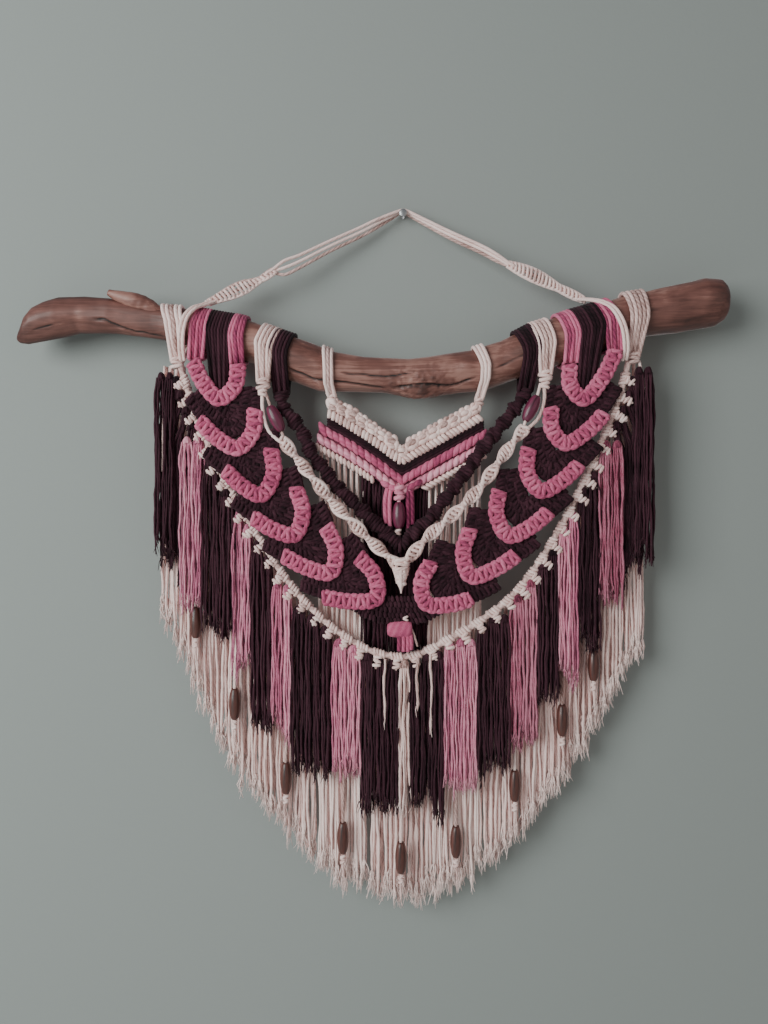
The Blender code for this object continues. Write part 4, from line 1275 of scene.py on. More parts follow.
@dataclass
class LeafJoin:
    """Aubergine net that joins the two chains of leaves, with a folded rose tab and its strands."""

    hitch: Loops = Loops(4.3, 2.1, 1.8, 2.1, lean=0.8, jitter=0.1)
    # Where each row starts and ends, as shares of the lowest one.
    spans: tuple = ((0, 1), (0.06, 0.94), (0.2, 0.82), (0.3, 0.74), (0.36, 0.68))
    # The tab's profile from left to right: places across and half heights.
    fold: tuple = ((-17.6, 2.4), (-17.0, 5.4), (-14.6, 7.2), (-9, 8.2), (-2, 8.6), (4, 8.6),
                   (7.4, 7.6), (8.4, 4.0))
    lower: list = field(default_factory=lambda: [
        (-54, -422), (-30, -434), (-2, -437), (20, -435), (45, -423)])

    def build(self) -> None:
        """Lay level rows of hitches, each above the last and shorter, and the tab below them."""
        rng = drawn("leaf join")
        edge = smooth_path(at_depth(self.lower, LEAF_Y + 1.6), 80)
        # Painted shade: a flat sheet in the deep aubergine lies behind the rows of hitches.
        net = [sweep(edge[4:-4] + (0.0, 1.0, 3.0), 5.0, 8, flat=0.2, shade=0.0)]
        for row, (left, right) in enumerate(self.spans):
            span = edge[round(left * 79):round(right * 79) + 1] + (0.0, 0.3 * row, 5.6 * row)
            net.append(self.hitch.along(span, rng))
        put("leaf_join_net", net, Dye.AUBERGINE, "leaf_join")
        path = np.array([(x, LEAF_Y - 1.2, -445.2) for x, _ in self.fold])
        tab = [sweep(path, np.array([r for _, r in self.fold]), 28, flat=0.62, shade=0.55)]
        for x, end in ((-5.4, -467.5), (-0.8, -468), (3.6, -468), (7.0, -466)):
            drop = [(x, LEAF_Y - 2.5, -450), (x + 0.4, LEAF_Y - 2.2, -458),
                    (x + 0.2, LEAF_Y - 1, end)]
            tab.append(sweep(smooth_path(drop, 14), 2.2, 8, rng=rng))
        put("rose_tab_folded", tab, Dye.ROSE, "leaf_tab")
        pale = [(6, LEAF_Y, -441), (10, LEAF_Y - 0.5, -450), (14, LEAF_Y + 1, -463)]
        trim = [sweep(smooth_path(pale, 14), 1.2, 6, rng=rng),
                gather(1.6, LEAF_Y - 3.4, -432.3, 1.8, 1.2, 2, rng, 1.0)]
        put("join_cream_cord", trim, Dye.CREAM, "leaf_join")


@dataclass
class SpiralV:
    """Two cream braids of twisting half knots that hang from the branch and meet in a V."""

    branch: Branch
    paths: dict = field(default_factory=lambda: {
        Side.LEFT: [(-126, -249), (-107, -273), (-92, -292), (-71, -317), (-50, -338), (-31, -357),
                    (-7, -378)],
        Side.RIGHT: [(125, -237), (112, -253), (98, -272), (80, -297), (64, -314), (44, -333),
                     (22, -352), (3, -375)]})
    mounts: dict = field(default_factory=lambda: {
        Side.LEFT: Mount((-144, -128), (-153, -137), (-151, -140.5), -190, SPIRAL_Y, 5, 1.9),
        Side.RIGHT: Mount((131, 147), (139, 155), (141, 151.5), -182, SPIRAL_Y, 5, 1.9)})
    # Cords that pass round the outside of each bead, and cords that pass through it.
    rounds: dict = field(default_factory=lambda: {
        Side.LEFT: [(-146.5, -203), (-146, -218), (-141, -238), (-131, -249), (-122, -254)],
        Side.RIGHT: [(145, -194), (145, -208), (140, -225), (130, -236), (121, -242)]})
    through: dict = field(default_factory=lambda: {
        Side.LEFT: [(-143, -200), (-138.5, -213.5), (-132.5, -227.5), (-126.5, -241), (-124, -249)],
        Side.RIGHT: [(141, -191), (137.5, -204), (131.5, -217), (125.5, -230), (123, -238)]})
    lobe: float = 28.0
    wrap: Loops = Loops(4.6, 4.4, 2.0, 1.7, lean=1.5, stations=14)

    def wound(self, path: Array, phase: float, rng: Random) -> list[Shell]:
        """Wraps round a path and the two cords that wind round them, half a turn to a lobe.

        Args:
            path: Middle of the braid.
            phase: Angle at which it starts.
            rng: Source of the cords' shades.

        Returns:
            Shells of the wraps, of the core and of the two cords.
        """
        turn = math.pi / self.lobe
        wraps = replace(self.wrap, turn=turn, phase=phase).along(path, rng)
        angle = phase + turn * np.linspace(0, length_of(path), len(path))[:, None]
        side = sideways(path)
        # Painted shade: the core takes the deep cream and shows darker between the wraps.
        lobes = [wraps, sweep(path, 2.1, 6, shade=0.0)]
        for half in (0.0, math.pi):
            cord = path + 4.9 * np.cos(angle + half) * side + 3.2 * np.sin(angle + half) * FRONT
            lobes.append(sweep(cord, 2.15, 8, rng=rng))
        return lobes

    def build(self) -> None:
        """Lay the braids, the pointed end, and the cords round and through the beads."""
        rng = drawn("spiral v")
        shells = []
        for side, phase in ((Side.LEFT, -0.95), (Side.RIGHT, -0.5)):
            path = smooth_path(at_depth(self.paths[side], SPIRAL_Y), 220)
            shells += self.wound(path, phase, rng)
            mount = self.mounts[side]
            shells.append(mount.shell(self.branch, rng))
            middle = sum(mount.knot) / 2
            shells.append(gather(middle, SPIRAL_Y, mount.height + 3.0, 5.4, 2.1, 3, rng))
            shells.append(gather(middle - 0.5, SPIRAL_Y, mount.height - 9.0, 3.4, 1.9, 2, rng, 2.4))
            for points, radius in ((self.rounds[side], 1.9), (self.through[side], 1.5)):
                line = smooth_path(at_depth(points, SPIRAL_Y), 30)
                shells.append(sweep(line, radius, 8, rng=rng))
        shells += self.point(rng)
        put("cream_spiral_v", shells, Dye.CREAM, "spiral_v")

    def point(self, rng: Random) -> list[Shell]:
        """Wraps where the two braids meet, and below them their cords drawn together to a point.

        Args:
            rng: Source of the cords' shades.

        Returns:
            Shells of the wraps and the cords.
        """
        neck = smooth_path(at_depth([(-3, -373), (-3, -383), (-3, -397)], SPIRAL_Y), 12)
        wraps = Loops(4.6, 6.4, 3.0, 2.4, lean=1.0, alternate=True)
        shells = [wraps.along(neck, rng, [1.15, 0.95, 0.55])]
        ends = []
        for k, start in enumerate((-10.5, -7.2, -3.6, 0.2, 4.0)):
            front = 1.2 * (2 - abs(k - 2))
            end = [(start, SPIRAL_Y - front, -381),
                   (0.6 * start - 1.2, SPIRAL_Y - 1.2 * front, -391),
                   (0.25 * start - 2.3, SPIRAL_Y - front, -400),
                   (-3, SPIRAL_Y, -408 + 1.6 * abs(k - 2))]
            ends.append(smooth_path(end, 16))
        taper = np.interp(np.linspace(0, 1, 16), (0, 0.5, 1), (2.3, 2.1, 0.8))
        return shells + [sweep(np.array(ends), taper, 8, rng=rng)]


@dataclass
class DarkV:
    """Flat aubergine braid of square knots in a V behind the cream one, hung from the branch."""

    branch: Branch
    path: list = field(default_factory=lambda: [
        (-128, -200), (-127, -212), (-117, -226), (-107, -238), (-98, -260), (-83, -280),
        (-68, -299), (-49, -317), (-33, -333), (-16, -348), (-3, -358), (10, -346), (27, -331),
        (41, -313), (54, -296), (70, -275), (85, -254), (97, -240), (111, -222), (122, -208),
        (127, -198)])
    mounts: tuple = (Mount((-129, -114), (-138, -122), (-135, -121), -200, DARK_V_Y, 6, 1.8),
                     Mount((115, 130), (124, 140), (120, 134), -198, DARK_V_Y, 6, 1.8))
    knot: Loops = Loops(3.2, 6.3, 3.6, 2.35, lean=0.9, turn=math.pi / 17, stations=14, jitter=0.09)

    def build(self) -> None:
        """Lay the loops of the braid, its core in painted shade and its mounts."""
        rng = drawn("dark v")
        line = smooth_path(at_depth(self.path, DARK_V_Y), 300)
        # Painted shade: the core is a flattened cord in the deep aubergine behind the loops.
        shells = [self.knot.along(line, rng), sweep(line[::3], 4.6, 8, flat=0.8, shade=0.0)]
        shells += [mount.shell(self.branch, rng) for mount in self.mounts]
        put("aubergine_square_knot_v", shells, Dye.AUBERGINE, "dark_v")


@dataclass
class Chevron:
    """Central V of rows: square knots, hitches, a dark row, two plaited rows and hitches again."""

    branch: Branch
    apex: tuple[float, float] = (-2.0, -260.5)
    slope_left: float = 0.638
    slope_right: float = 0.555
    mounts: tuple = (Mount((-84, -76), (-82, -75), (-78.5, -72), -203, CHEVRON_Y - 1, 3, 1.95),
                     Mount((73.5, 81.5), (81, 88), (76.5, 82.5), -206, CHEVRON_Y - 1, 3, 1.95))
    last: Loops = Loops(5.0, 2.0, 2.0, 2.2, lean=1.9)

    def height(self, x: Array | float, drop: float) -> Array:
        """Height at x of the line that lies a drop below the middle of the band."""
        away = np.asarray(x) - self.apex[0]
        bow = 3.0 * np.sin(math.pi * np.clip(-away / 90, 0, 1))
        slope = np.where(away < 0, self.slope_left, self.slope_right)
        return self.apex[1] - drop + np.abs(away) * slope + bow

    def line(self, left: float, right: float, drop: float, y: float = CHEVRON_Y) -> Array:
        """Path of a row from left to right, a drop below the middle of the band."""
        x = np.linspace(left, right, 160)
        return np.stack([x, np.full(160, y), self.height(x, drop)], axis=1)

    def plait(self, left: float, right: float, drop: float, reach: float,
              rng: Random) -> list[Shell]:
        """Row of short strands that slant across it, fat in the middle and pointed at the ends.

        Args:
            left: Left end of the row.
            right: Right end of the row.
            drop: How far the row lies below the middle of the band.
            reach: Half the length of a strand.
            rng: Source of the small differences between strands.

        Returns:
            Shells of the strands and of the flat cord of painted shade behind them.
        """
        count = round((right - left) * 1.17 / 7.9)
        x = np.linspace(left + 3, right - 3, count)
        way = np.where(x < self.apex[0], 1.0, -1.0)
        row = np.where(x < self.apex[0], math.atan(self.slope_left), math.atan(self.slope_right))
        angle = (row + 0.48 + 0.07 * rng.standard_normal(count))[:, None]
        share = np.linspace(-1, 1, 9)
        reach = reach * (1 + 0.05 * rng.standard_normal(count))[:, None]
        paths = np.empty((count, 9, 3))
        paths[:, :, 0] = x[:, None] + way[:, None] * reach * np.cos(angle) * share
        paths[:, :, 1] = CHEVRON_Y - 0.8 - 2.2 * np.cos(share * 1.4) - 1.6 * share
        paths[:, :, 2] = self.height(x, drop)[:, None] - reach * np.sin(angle) * share
        size = 3.6 * (0.14 + 0.86 * np.cos(share * 1.5)) ** 0.75
        # Painted shade: a flat cord in the dye's deep colour lies behind the strands.
        behind = even_path(self.line(left, right, drop, CHEVRON_Y + 0.6), 80)
        strands = sweep(paths, size, 8, shade=0.35 + 0.5 * rng.random(count))
        return [strands, sweep(behind, 5.6, 8, flat=0.35, shade=0.0)]

    def square_knot(self, x: float, drop: float, slope: float, rng: Random) -> Shell:
        """Square knot: two level bars, a bulging loop on each side and two loops on top.

        Args:
            x: Middle of the knot.
            drop: How far its middle lies below the middle of the band.
            slope: Slope of the row at the knot.
            rng: Source of small differences.

        Returns:
            Shell of the knot.
        """
        size = 1 + 0.05 * rng.standard_normal()
        parts = [[(-4.4, 1.6), (0, 2.6), (4.4, 1.6)], [(-4.4, -2.6), (0, -3.6), (4.4, -2.6)],
                 [(-3.0, 4.4), (-5.0, 1.0), (-3.4, -5.6)], [(3.0, 4.4), (5.0, 1.0), (3.4, -5.6)],
                 [(-4.8, 3.6), (-2.8, 7.0), (-0.4, 4.0)], [(0.4, 4.0), (2.8, 7.0), (4.8, 3.6)]]
        fronts = (-2.6, -2.2, -1.4, -1.4, -0.6, -0.6)
        middle = float(self.height(x, drop))
        paths = []
        for part, front in zip(parts, fronts):
            points = [(x + size * u, CHEVRON_Y + front * bulge,
                       middle + size * (v + 0.8 * slope * u))
                      for (u, v), bulge in zip(part, (0.5, 1.4, 0.5))]
            paths.append(smooth_path(points, 12))
        taper = np.sin(np.linspace(0.55, math.pi - 0.55, 12)) ** 0.5
        return sweep(np.array(paths), 2.75 * size * taper, 8, rng=rng)

    def knots(self, rng: Random) -> list[Shell]:
        """Square knots side by side along the top, and the row of hitches below them.

        Args:
            rng: Source of the small differences between knots.

        Returns:
            Shells of the knots and rows.
        """
        shells = []
        for x in (*np.linspace(-74.5, -13.0, 7), *np.linspace(9.0, 75.5, 7)):
            slope = -self.slope_left if x < self.apex[0] else self.slope_right
            shells.append(self.square_knot(x, -1.6, slope, rng))
        shells.append(self.square_knot(-2.0, 0.6, 0.0, rng))
        hitches = Loops(4.6, 2.9, 2.6, 2.45, lean=1.2)
        shells.append(hitches.along(self.line(-78, 80, 10.0, CHEVRON_Y - 1), rng))
        # Painted shade: a flat cord in the deep cream lies behind the knots and hitches.
        behind = even_path(self.line(-77, 79, 3.0, CHEVRON_Y + 1), 60)
        shells.append(sweep(behind, 6.0, 8, flat=0.25, shade=0.0))
        return shells

    def build(self) -> None:
        """Lay each row, the mounts of the band and what hangs from the point of the V."""
        rng = drawn("chevron")
        band = self.knots(rng) + [mount.shell(self.branch, rng) for mount in self.mounts]
        for mount in self.mounts:
            middle = sum(mount.knot) / 2
            band.append(gather(middle, CHEVRON_Y - 1, mount.height + 1, 3.2, 2.1, 2, rng))
        put("chevron_square_knots", band, Dye.CREAM, "chevron_band")
        dark = []
        for drop in (-3.9, -1.3, 1.3, 3.9):
            line = self.line(-80, 84, 19.0 + drop, CHEVRON_Y - 1 + abs(drop) / 4)
            dark.append(sweep(even_path(line, 80), 2.3, 8, rng=rng))
        # Painted shade: a flat cord in the deep aubergine lies behind the dark row.
        behind = even_path(self.line(-79, 83, 19.0, CHEVRON_Y + 1), 60)
        dark.append(sweep(behind, 5.6, 8, flat=0.3, shade=0.0))
        put("chevron_dark_hitches", dark, Dye.AUBERGINE, "chevron_dark_row")
        rose = self.plait(-88, 86, 30.2, 8.2, rng)
        for x, z, way in ((-19, -295, 1), (-12, -298.5, 1), (8.5, -297, -1), (15, -293.5, -1)):
            blob = smooth_path([(x - 5 * way, CHEVRON_Y - 4, z + 3), (x, CHEVRON_Y - 5.5, z),
                                (x + 5 * way, CHEVRON_Y - 4, z - 3)], 9)
            rose.append(sweep(blob, 3.5 * np.sin(np.linspace(0.35, math.pi - 0.35, 9)), 8, rng=rng))
        for x, foot in ((-19.5, -336), (-14.9, -341), (4.4, -342), (9.0, -337)):
            fall = smooth_path([(x * 0.85, CHEVRON_Y - 3, -297), (x, CHEVRON_Y - 4, -312),
                                (x + 0.5, CHEVRON_Y - 3, foot)], 20)
            rose.append(sweep(fall, 2.4, 8, rng=rng))
        put("chevron_rose_plait", rose, Dye.ROSE, "chevron_rose_row")
        pink = self.plait(-90, 86, 41.8, 7.2, rng)
        pink.append(gather(-4.6, CENTRE_BEAD_Y, -298.5, 3.4, 2.8, 3, rng, 3.0))
        cord = [(-5, CHEVRON_Y, -294), (-5, CENTRE_BEAD_Y, -306), (-5, CENTRE_BEAD_Y, -345)]
        pink.append(sweep(smooth_path(cord, 24), 1.9, 8, rng=rng))
        put("chevron_pink_plait", pink, Dye.PINK, "chevron_pink_row")
        cream = [self.last.along(self.line(left, right, 51.6, CHEVRON_Y - 1), rng)
                 for left, right in ((-91, -33), (23, 83))]
        cream.append(gather(-6, CENTRE_BEAD_Y, -343, 2.4, 1.7, 2, rng, 2.0))
        put("chevron_cream_hitches", cream, Dye.CREAM, "chevron_cream_row_left",
            "chevron_cream_row_right")


# ---------------------------------------------------------------- swag, tassels and fringe


@dataclass
class Swag:
    """Cream cord that swings from one end of the hanging to the other, under the leaves."""

    branch: Branch
    points: list = field(default_factory=lambda: [
        (-234, -170), (-221, -212), (-205, -252), (-186, -293), (-163, -332), (-138, -372),
        (-111, -409), (-78, -442), (-41, -466), (-20, -473), (-2, -475.5), (15, -472.5),
        (32, -465), (78, -439), (117, -408), (149, -365), (177, -315), (198, -270), (215, -231),
        (227, -198), (235, -166)])
    mounts: tuple = (Mount((-254, -235), (-247, -230), (-242, -232), -167, SWAG_Y, 5, 2.1),
                     Mount((231, 249.5), (235, 251.5), (234.5, 245), -162, SWAG_Y, 5, 2.1))
    cord: float = 3.2

    def path(self, count: int) -> Array:
        """Even points along the middle of the swag cord."""
        return smooth_path(at_depth(self.points, SWAG_Y), count)

    def height(self, x: Array | float) -> Array:
        """Height of the swag cord's middle at x, held at its ends beyond them."""
        path = self.path(240)
        return np.interp(x, path[:, 0], path[:, 2])

    def slope(self, x: Array | float) -> Array:
        """Slope of the swag cord at x."""
        path = self.path(240)
        return np.interp(x, path[:, 0], np.gradient(path[:, 2], path[:, 0]))

    def hitch_places(self) -> Array:
        """Places of the hitches, about every 17 mm along the cord."""
        return even_path(self.path(240), 44)[1:-1]

    def build(self) -> None:
        """Lay the cord, its hitches and the outer knots."""
        rng = drawn("swag")
        shells = [sweep(self.path(240), self.cord, 8, rng=rng)]
        places = self.hitch_places()
        for place, along in zip(places, np.gradient(places, axis=0)):
            shells += self.hitch(place, unit(along), rng)
        for mount in self.mounts:
            shells.append(mount.shell(self.branch, rng))
            middle = sum(mount.knot) / 2
            shells.append(gather(middle, SWAG_Y, mount.height + 3, 5.2, 2.1, 3, rng, 3.4))
        for line in ([(-243, -172), (-246.5, -190), (-251, -228), (-252.5, -282)],
                     [(246, -166), (250.5, -186), (254, -204), (254, -220)]):
            shells.append(sweep(smooth_path(at_depth(line, SWAG_Y), 30), 1.5, 6, rng=rng))
        put("swag_cord_hitched", shells, Dye.CREAM, "swag_cord")

    @staticmethod
    def hitch(place: Array, way: Array, rng: Random) -> list[Shell]:
        """Wraps round the cord, then wraps down its lower, outer side, and a short end below them.

        Args:
            place: Where the hitch is on the cord.
            way: Direction of the cord there.
            rng: Source of small differences.

        Returns:
            Shells of the wraps and the end.
        """
        out = np.array((way[2], 0.0, -way[0]))
        fall = unit((out if out[2] < 0 else -out) + 0.3 * DOWN)
        reach = rng.uniform(4.0, 9.0)
        start = place + fall * 3.6 + FRONT * 2.6
        stop = start + fall * reach
        wraps = Loops(3.5, 3.3, 3.1, 1.8, lean=1.1)
        knot = Loops(3.5, 3.3, 1.8, 1.85, lean=0.7, alternate=True)
        shells = [wraps.along(np.array([place - way * 5, place + way * 5]), rng),
                  knot.along(np.array([start, stop]), rng)]
        end = [start, stop, start + fall * (reach + 4) + way * rng.uniform(-2, 2)]
        taper = np.array((2, 2, 2, 2, 2, 1.9, 1.7, 1))
        return [*shells, sweep(smooth_path(end, 8), taper, 8, rng=rng)]


@dataclass(frozen=True)
class Tassel:
    """Tassel of loose strings below the swag cord: its finish, its sides, its top and its foot."""

    number: int
    dye: Dye
    left: float
    right: float
    head: float
    bottom: float
    head_pitch: float = 12.0
    pitch: float = 2.15
    strings: Strings = Strings(1.15, 23, 0.5, (17.0, 41.0, 104.0), knee=18.0, sides=4, fibres=3,
                               fray=10.0)

    def build(self, swag: Swag) -> None:
        """Tie the heads under the cord and hang the strings from them.

        Args:
            swag: The cord that carries the tassel.
        """
        name = f"tassel_{self.number:02d}"
        rng = drawn(name)
        cells = max(1, round((self.right - self.left) / self.head_pitch))
        half = (self.right - self.left) / cells / 2
        heads = self.left + half * (2 * np.arange(cells) + 1)
        crowns = np.array([self.top_at(swag, x) for x in heads])
        shells = []
        for x, top in zip(heads, crowns):
            shells.append(self.folded(x, top, half - 0.4, rng))
        columns = max(3, round((self.right - self.left) / self.pitch))
        xs = np.linspace(self.left + 0.6, self.right - 0.6, columns)
        uneven, tint = rng.normal(0, 6.0, cells), rng.normal(0, 0.15, cells)
        tops, feet, tints = [], [], []
        for row, y in enumerate(TASSEL_ROWS):
            x = xs + (row - 1) * 0.85
            nearest = np.abs(x[:, None] - heads).argmin(axis=1)
            start = heads[nearest] + (x - heads[nearest]) * 0.82
            level = crowns[nearest] - 4.5 - 0.25 * np.abs(x - heads[nearest])
            depth = np.full(columns, (y + TASSEL_ROWS[1]) / 2)
            tops.append(np.stack([start, depth, level], axis=1))
            tints.append(tint[nearest])
            low = self.bottom + uneven[nearest] + rng.normal(0, 6.0, columns)
            away = x + rng.normal(0, 0.6, columns)
            feet.append(np.stack([away, y + rng.normal(0, 0.5, columns), low], axis=1))
        shells += self.strings.hang(np.concatenate(tops), np.concatenate(feet), rng,
                                    np.concatenate(tints))
        if self.dye is Dye.CREAM:
            shells += self.strays(swag, rng)
        put(f"{name}_strings", shells, self.dye, name)

    def top_at(self, swag: Swag, x: float) -> float:
        """Height of the tassel's top at x, clear of the underside of the cord."""
        if not swag.points[0][0] < x < swag.points[-1][0]:
            return self.head
        clear = 2.6 * math.hypot(1.0, float(swag.slope(x)))
        return min(self.head + 9, float(swag.height(x)) - clear)

    @staticmethod
    def folded(x: float, top: float, half: float, rng: Random) -> Shell:
        """Rounded head of a tassel: its cords are folded over, one arch inside another.

        Args:
            x: Middle of the head.
            top: Height of its top.
            half: Half its width.
            rng: Source of the cords' shades.

        Returns:
            Shell of the arches.
        """
        share = np.linspace(0, math.pi, 15)
        paths = []
        for size, front in ((1.0, 0.0), (0.66, -1.6), (0.3, -2.8), (0.8, 2.4)):
            reach = (half - 1.5) * size
            height = 8.5 * (0.55 + 0.45 * size)
            level = top - 1.6 - height + height * np.sin(share) ** 0.7
            depth = np.full(15, TASSEL_ROWS[1] + front)
            paths.append(np.stack([x + reach * np.cos(share), depth, level], axis=1))
        return sweep(np.array(paths), 1.75, 8, rng=rng)

    def strays(self, swag: Swag, rng: Random) -> list[Shell]:
        """Single strings of the cream tassel that hang between the dark heads beside it.

        Args:
            swag: The cord that carries them.
            rng: Source of small differences.

        Returns:
            Shells of the strings.
        """
        places = np.array((-19.5, 14.8, 27.5))
        tops = np.array([(x, TASSEL_ROWS[0] - 1.6, self.top_at(swag, x) - 1) for x in places])
        feet = tops + np.array([(rng.normal(0, 0.8), 0.0, -drop) for drop in (66, 52, 84)])
        return replace(self.strings, radius=1.5, fibres=2).hang(tops, feet, rng)


@dataclass
class SideTassels:
    """Aubergine heads up the steep ends of the swag cord, whose strings fill the outer tassels."""

    dye: Dye = Dye.AUBERGINE
    strings: Strings = Strings(1.3, 24, 0.7, (19.0, 49.0, 104.0), knee=40.0, sides=4)

    def build(self, swag: Swag) -> None:
        """Tie heads outside the cord and hang their strings behind the next tassel.

        Args:
            swag: The cord that carries them.
        """
        for side, way, node in ((Side.LEFT, -1, "tassel_01"), (Side.RIGHT, 1, "tassel_19")):
            rng = drawn(f"side tassels {side.value}")
            path = swag.path(240)
            half = path[:120] if way < 0 else path[::-1][:120]
            shells, tops, feet = [], [], []
            for number, height in enumerate((-184, -199, -215, -231)):
                x = float(np.interp(-height, -half[:, 2], half[:, 0])) + 7.5 * way
                shells.append(Tassel.folded(x, height + 2, 5.4, rng))
                for _ in range(14):
                    tops.append((x + rng.uniform(-3, 3), SWAG_Y + rng.uniform(-2, 3), height - 5))
                    foot = way * (254 - 6.0 * number - rng.uniform(0, 9))
                    depth = -44.5 + rng.uniform(-2.5, 2)
                    feet.append((foot, depth, -360 + rng.normal(0, 15) - 3 * number))
            shells += self.strings.hang(np.array(tops), np.array(feet), rng)
            put(f"side_tassels_{side.value}", shells, self.dye, node)


@dataclass
class Fringe:
    """Long cream strings behind the swag and the chevron, and the dark curtain between them."""

    swag: Swag
    chevron: Chevron
    edge: list = field(default_factory=lambda: [
        (-262, -434), (-250, -452), (-228, -503), (-212, -540), (-174, -610), (-140, -655),
        (-110, -688), (-73, -732), (-20, -739), (28, -740), (60, -731), (92, -706), (130, -668),
        (167, -620), (190, -582), (210, -551), (232, -505), (256, -470)])
    strings: Strings = Strings(1.45, 29, 0.6, (31.0, 77.0, 150.0), sides=4, fibres=10, fray=17.0)
    pitch: float = 6.5
    share: int = 5

    def bottom(self, x: Array | float) -> Array:
        """Height of the fringe's lower edge at x."""
        return np.interp(x, *np.array(self.edge).T)

    def group(self, span: tuple[float, float], top: Callable[[Array], Array],
              foot: Callable[[Array], Array], knee: float, tint: float, rng: Random) -> list[Shell]:
        """Hang bunches of strings that start one behind another and fan out.

        Args:
            span: Left and right end of the group.
            top: Gives the height of the strings' tops at x.
            foot: Gives the height of their lower ends at x.
            knee: Length over which the strings of a bunch part.
            tint: How much lighter the strings are; on the centre groups this is painted light.
            rng: Source of the differences between strings.

        Returns:
            Shells of the strings.
        """
        x = np.arange(span[0] + self.pitch / 2, span[1], self.pitch)
        x = x + rng.normal(0, 0.25, len(x))
        tops, feet = [], []
        for k, y in enumerate(np.linspace(CURTAIN_ROWS[0], CURTAIN_ROWS[-1], self.share)):
            part = (k - (self.share - 1) / 2) * self.pitch / self.share
            tops.append(np.stack([x + 0.15 * part, np.full(len(x), y), top(x)], axis=1))
            low = foot(x) + rng.normal(18, 7, len(x))
            away = x + part + rng.normal(0, 0.6, len(x))
            feet.append(np.stack([away, y + rng.normal(0, 0.5, len(x)), low], axis=1))
        strings = replace(self.strings, knee=knee)
        return strings.hang(np.concatenate(tops), np.concatenate(feet), rng, tint)

    def build(self) -> None:
        """Hang the five cream groups and the dark curtain."""
        def swag_top(x: Array) -> Array:
            return self.swag.height(x) + 1.0

        def row_top(x: Array) -> Array:
            return self.chevron.height(x, 45.0)

        def curtain_foot(x: Array) -> Array:
            return self.swag.height(x) - 17.0

        # Painted light: the two centre groups hang in shade behind the chevron and the leaves, and
        # a tint of 0.3 paints them lighter.
        for name, left, right, top, knee, tint in (
                ("fringe_outer_left", -257, -92, swag_top, 60.0, 0.0),
                ("fringe_centre_left", -91, -40, row_top, 190.0, 0.3),
                ("fringe_middle", -34, 25, swag_top, 60.0, 0.0),
                ("fringe_centre_right", 25, 85, row_top, 190.0, 0.3),
                ("fringe_outer_right", 86, 253, swag_top, 60.0, 0.0)):
            strings = self.group((left, right), top, self.bottom, knee, tint, drawn(name))
            put(f"{name}_strings", strings, Dye.CREAM, name)
        thicker = replace(self.strings, radius=1.6, stations=20, fibres=0)
        dark = replace(self, pitch=3.6, strings=thicker)
        hung = dark.group((-44, 27), row_top, curtain_foot, 30.0, 0.0, drawn("curtain"))
        put("dark_curtain_strings", hung, Dye.AUBERGINE, "dark_curtain")


@dataclass(frozen=True)
class Bead:
    """Turned oval bead with a bore: its node, finish, middle, depth, sizes and lean."""

    node: str
    dye: Dye
    x: float
    z: float
    y: float
    radius: float
    length: float
    lean: float = 0.0
    bore: float = 2.6

    def build(self) -> None:
        """Carry the bead's outline round its axis: bowed outside, rounded lips, straight bore."""
        share = np.linspace(1, -1, 25)
        end = max(0.55 * self.radius, self.bore + 1.0)
        outside = end + (self.radius - end) * np.cos(share * math.pi / 2) ** 0.8
        lip = 0.84 + 0.16 * np.sin(np.linspace(0, math.pi / 2, 4))
        outside[:4] *= lip
        outside[-4:] *= lip[::-1]
        height = share * self.length / 2
        inside = [(self.bore, -self.length / 2 * 0.97), (self.bore, self.length / 2 * 0.97)]
        profile = np.vstack([np.stack([outside, height], axis=1), inside])
        axis = np.array((math.sin(self.lean), 0.0, math.cos(self.lean)))
        shell = revolved(profile, (self.x, self.y, self.z), axis, 40)
        put(f"{self.node}_turned", [shell], self.dye, self.node)


@dataclass
class BeadStrands:
    """Cream strands that carry the brown beads, with a knot and a frayed tail below each bead."""

    beads: list[Bead]
    cord: float = 1.6

    def build(self) -> None:
        """Lead each strand out of the fringe, through its bead and down to its knot and tail."""
        rng = drawn("bead strands")
        shells = []
        tail = Strings(1.4, 10, 0.5, (23.0, 41.0, 84.0), knee=4.0, fray=12.0)
        for bead in self.beads:
            head, foot = bead.z + bead.length / 2, bead.z - bead.length / 2
            line = [(bead.x + 1.5, bead.y + 6, head + 70), (bead.x + 0.6, bead.y + 4, head + 34),
                    (bead.x, bead.y, head + 6), (bead.x, bead.y, bead.z),
                    (bead.x, bead.y, foot - 9)]
            shells.append(sweep(smooth_path(line, 36), self.cord, 8, rng=rng))
            shells.append(gather(bead.x, bead.y, foot - 3.0, 1.9, 1.5, 3, rng, 1.7))
            top = np.array([(bead.x, bead.y, foot - 9)])
            end = np.array([(bead.x + rng.normal(0, 1), bead.y, foot - 25)])
            shells += tail.hang(top, end, rng)
        put("bead_strands", shells, Dye.CREAM)


# ---------------------------------------------------------------- studio and build


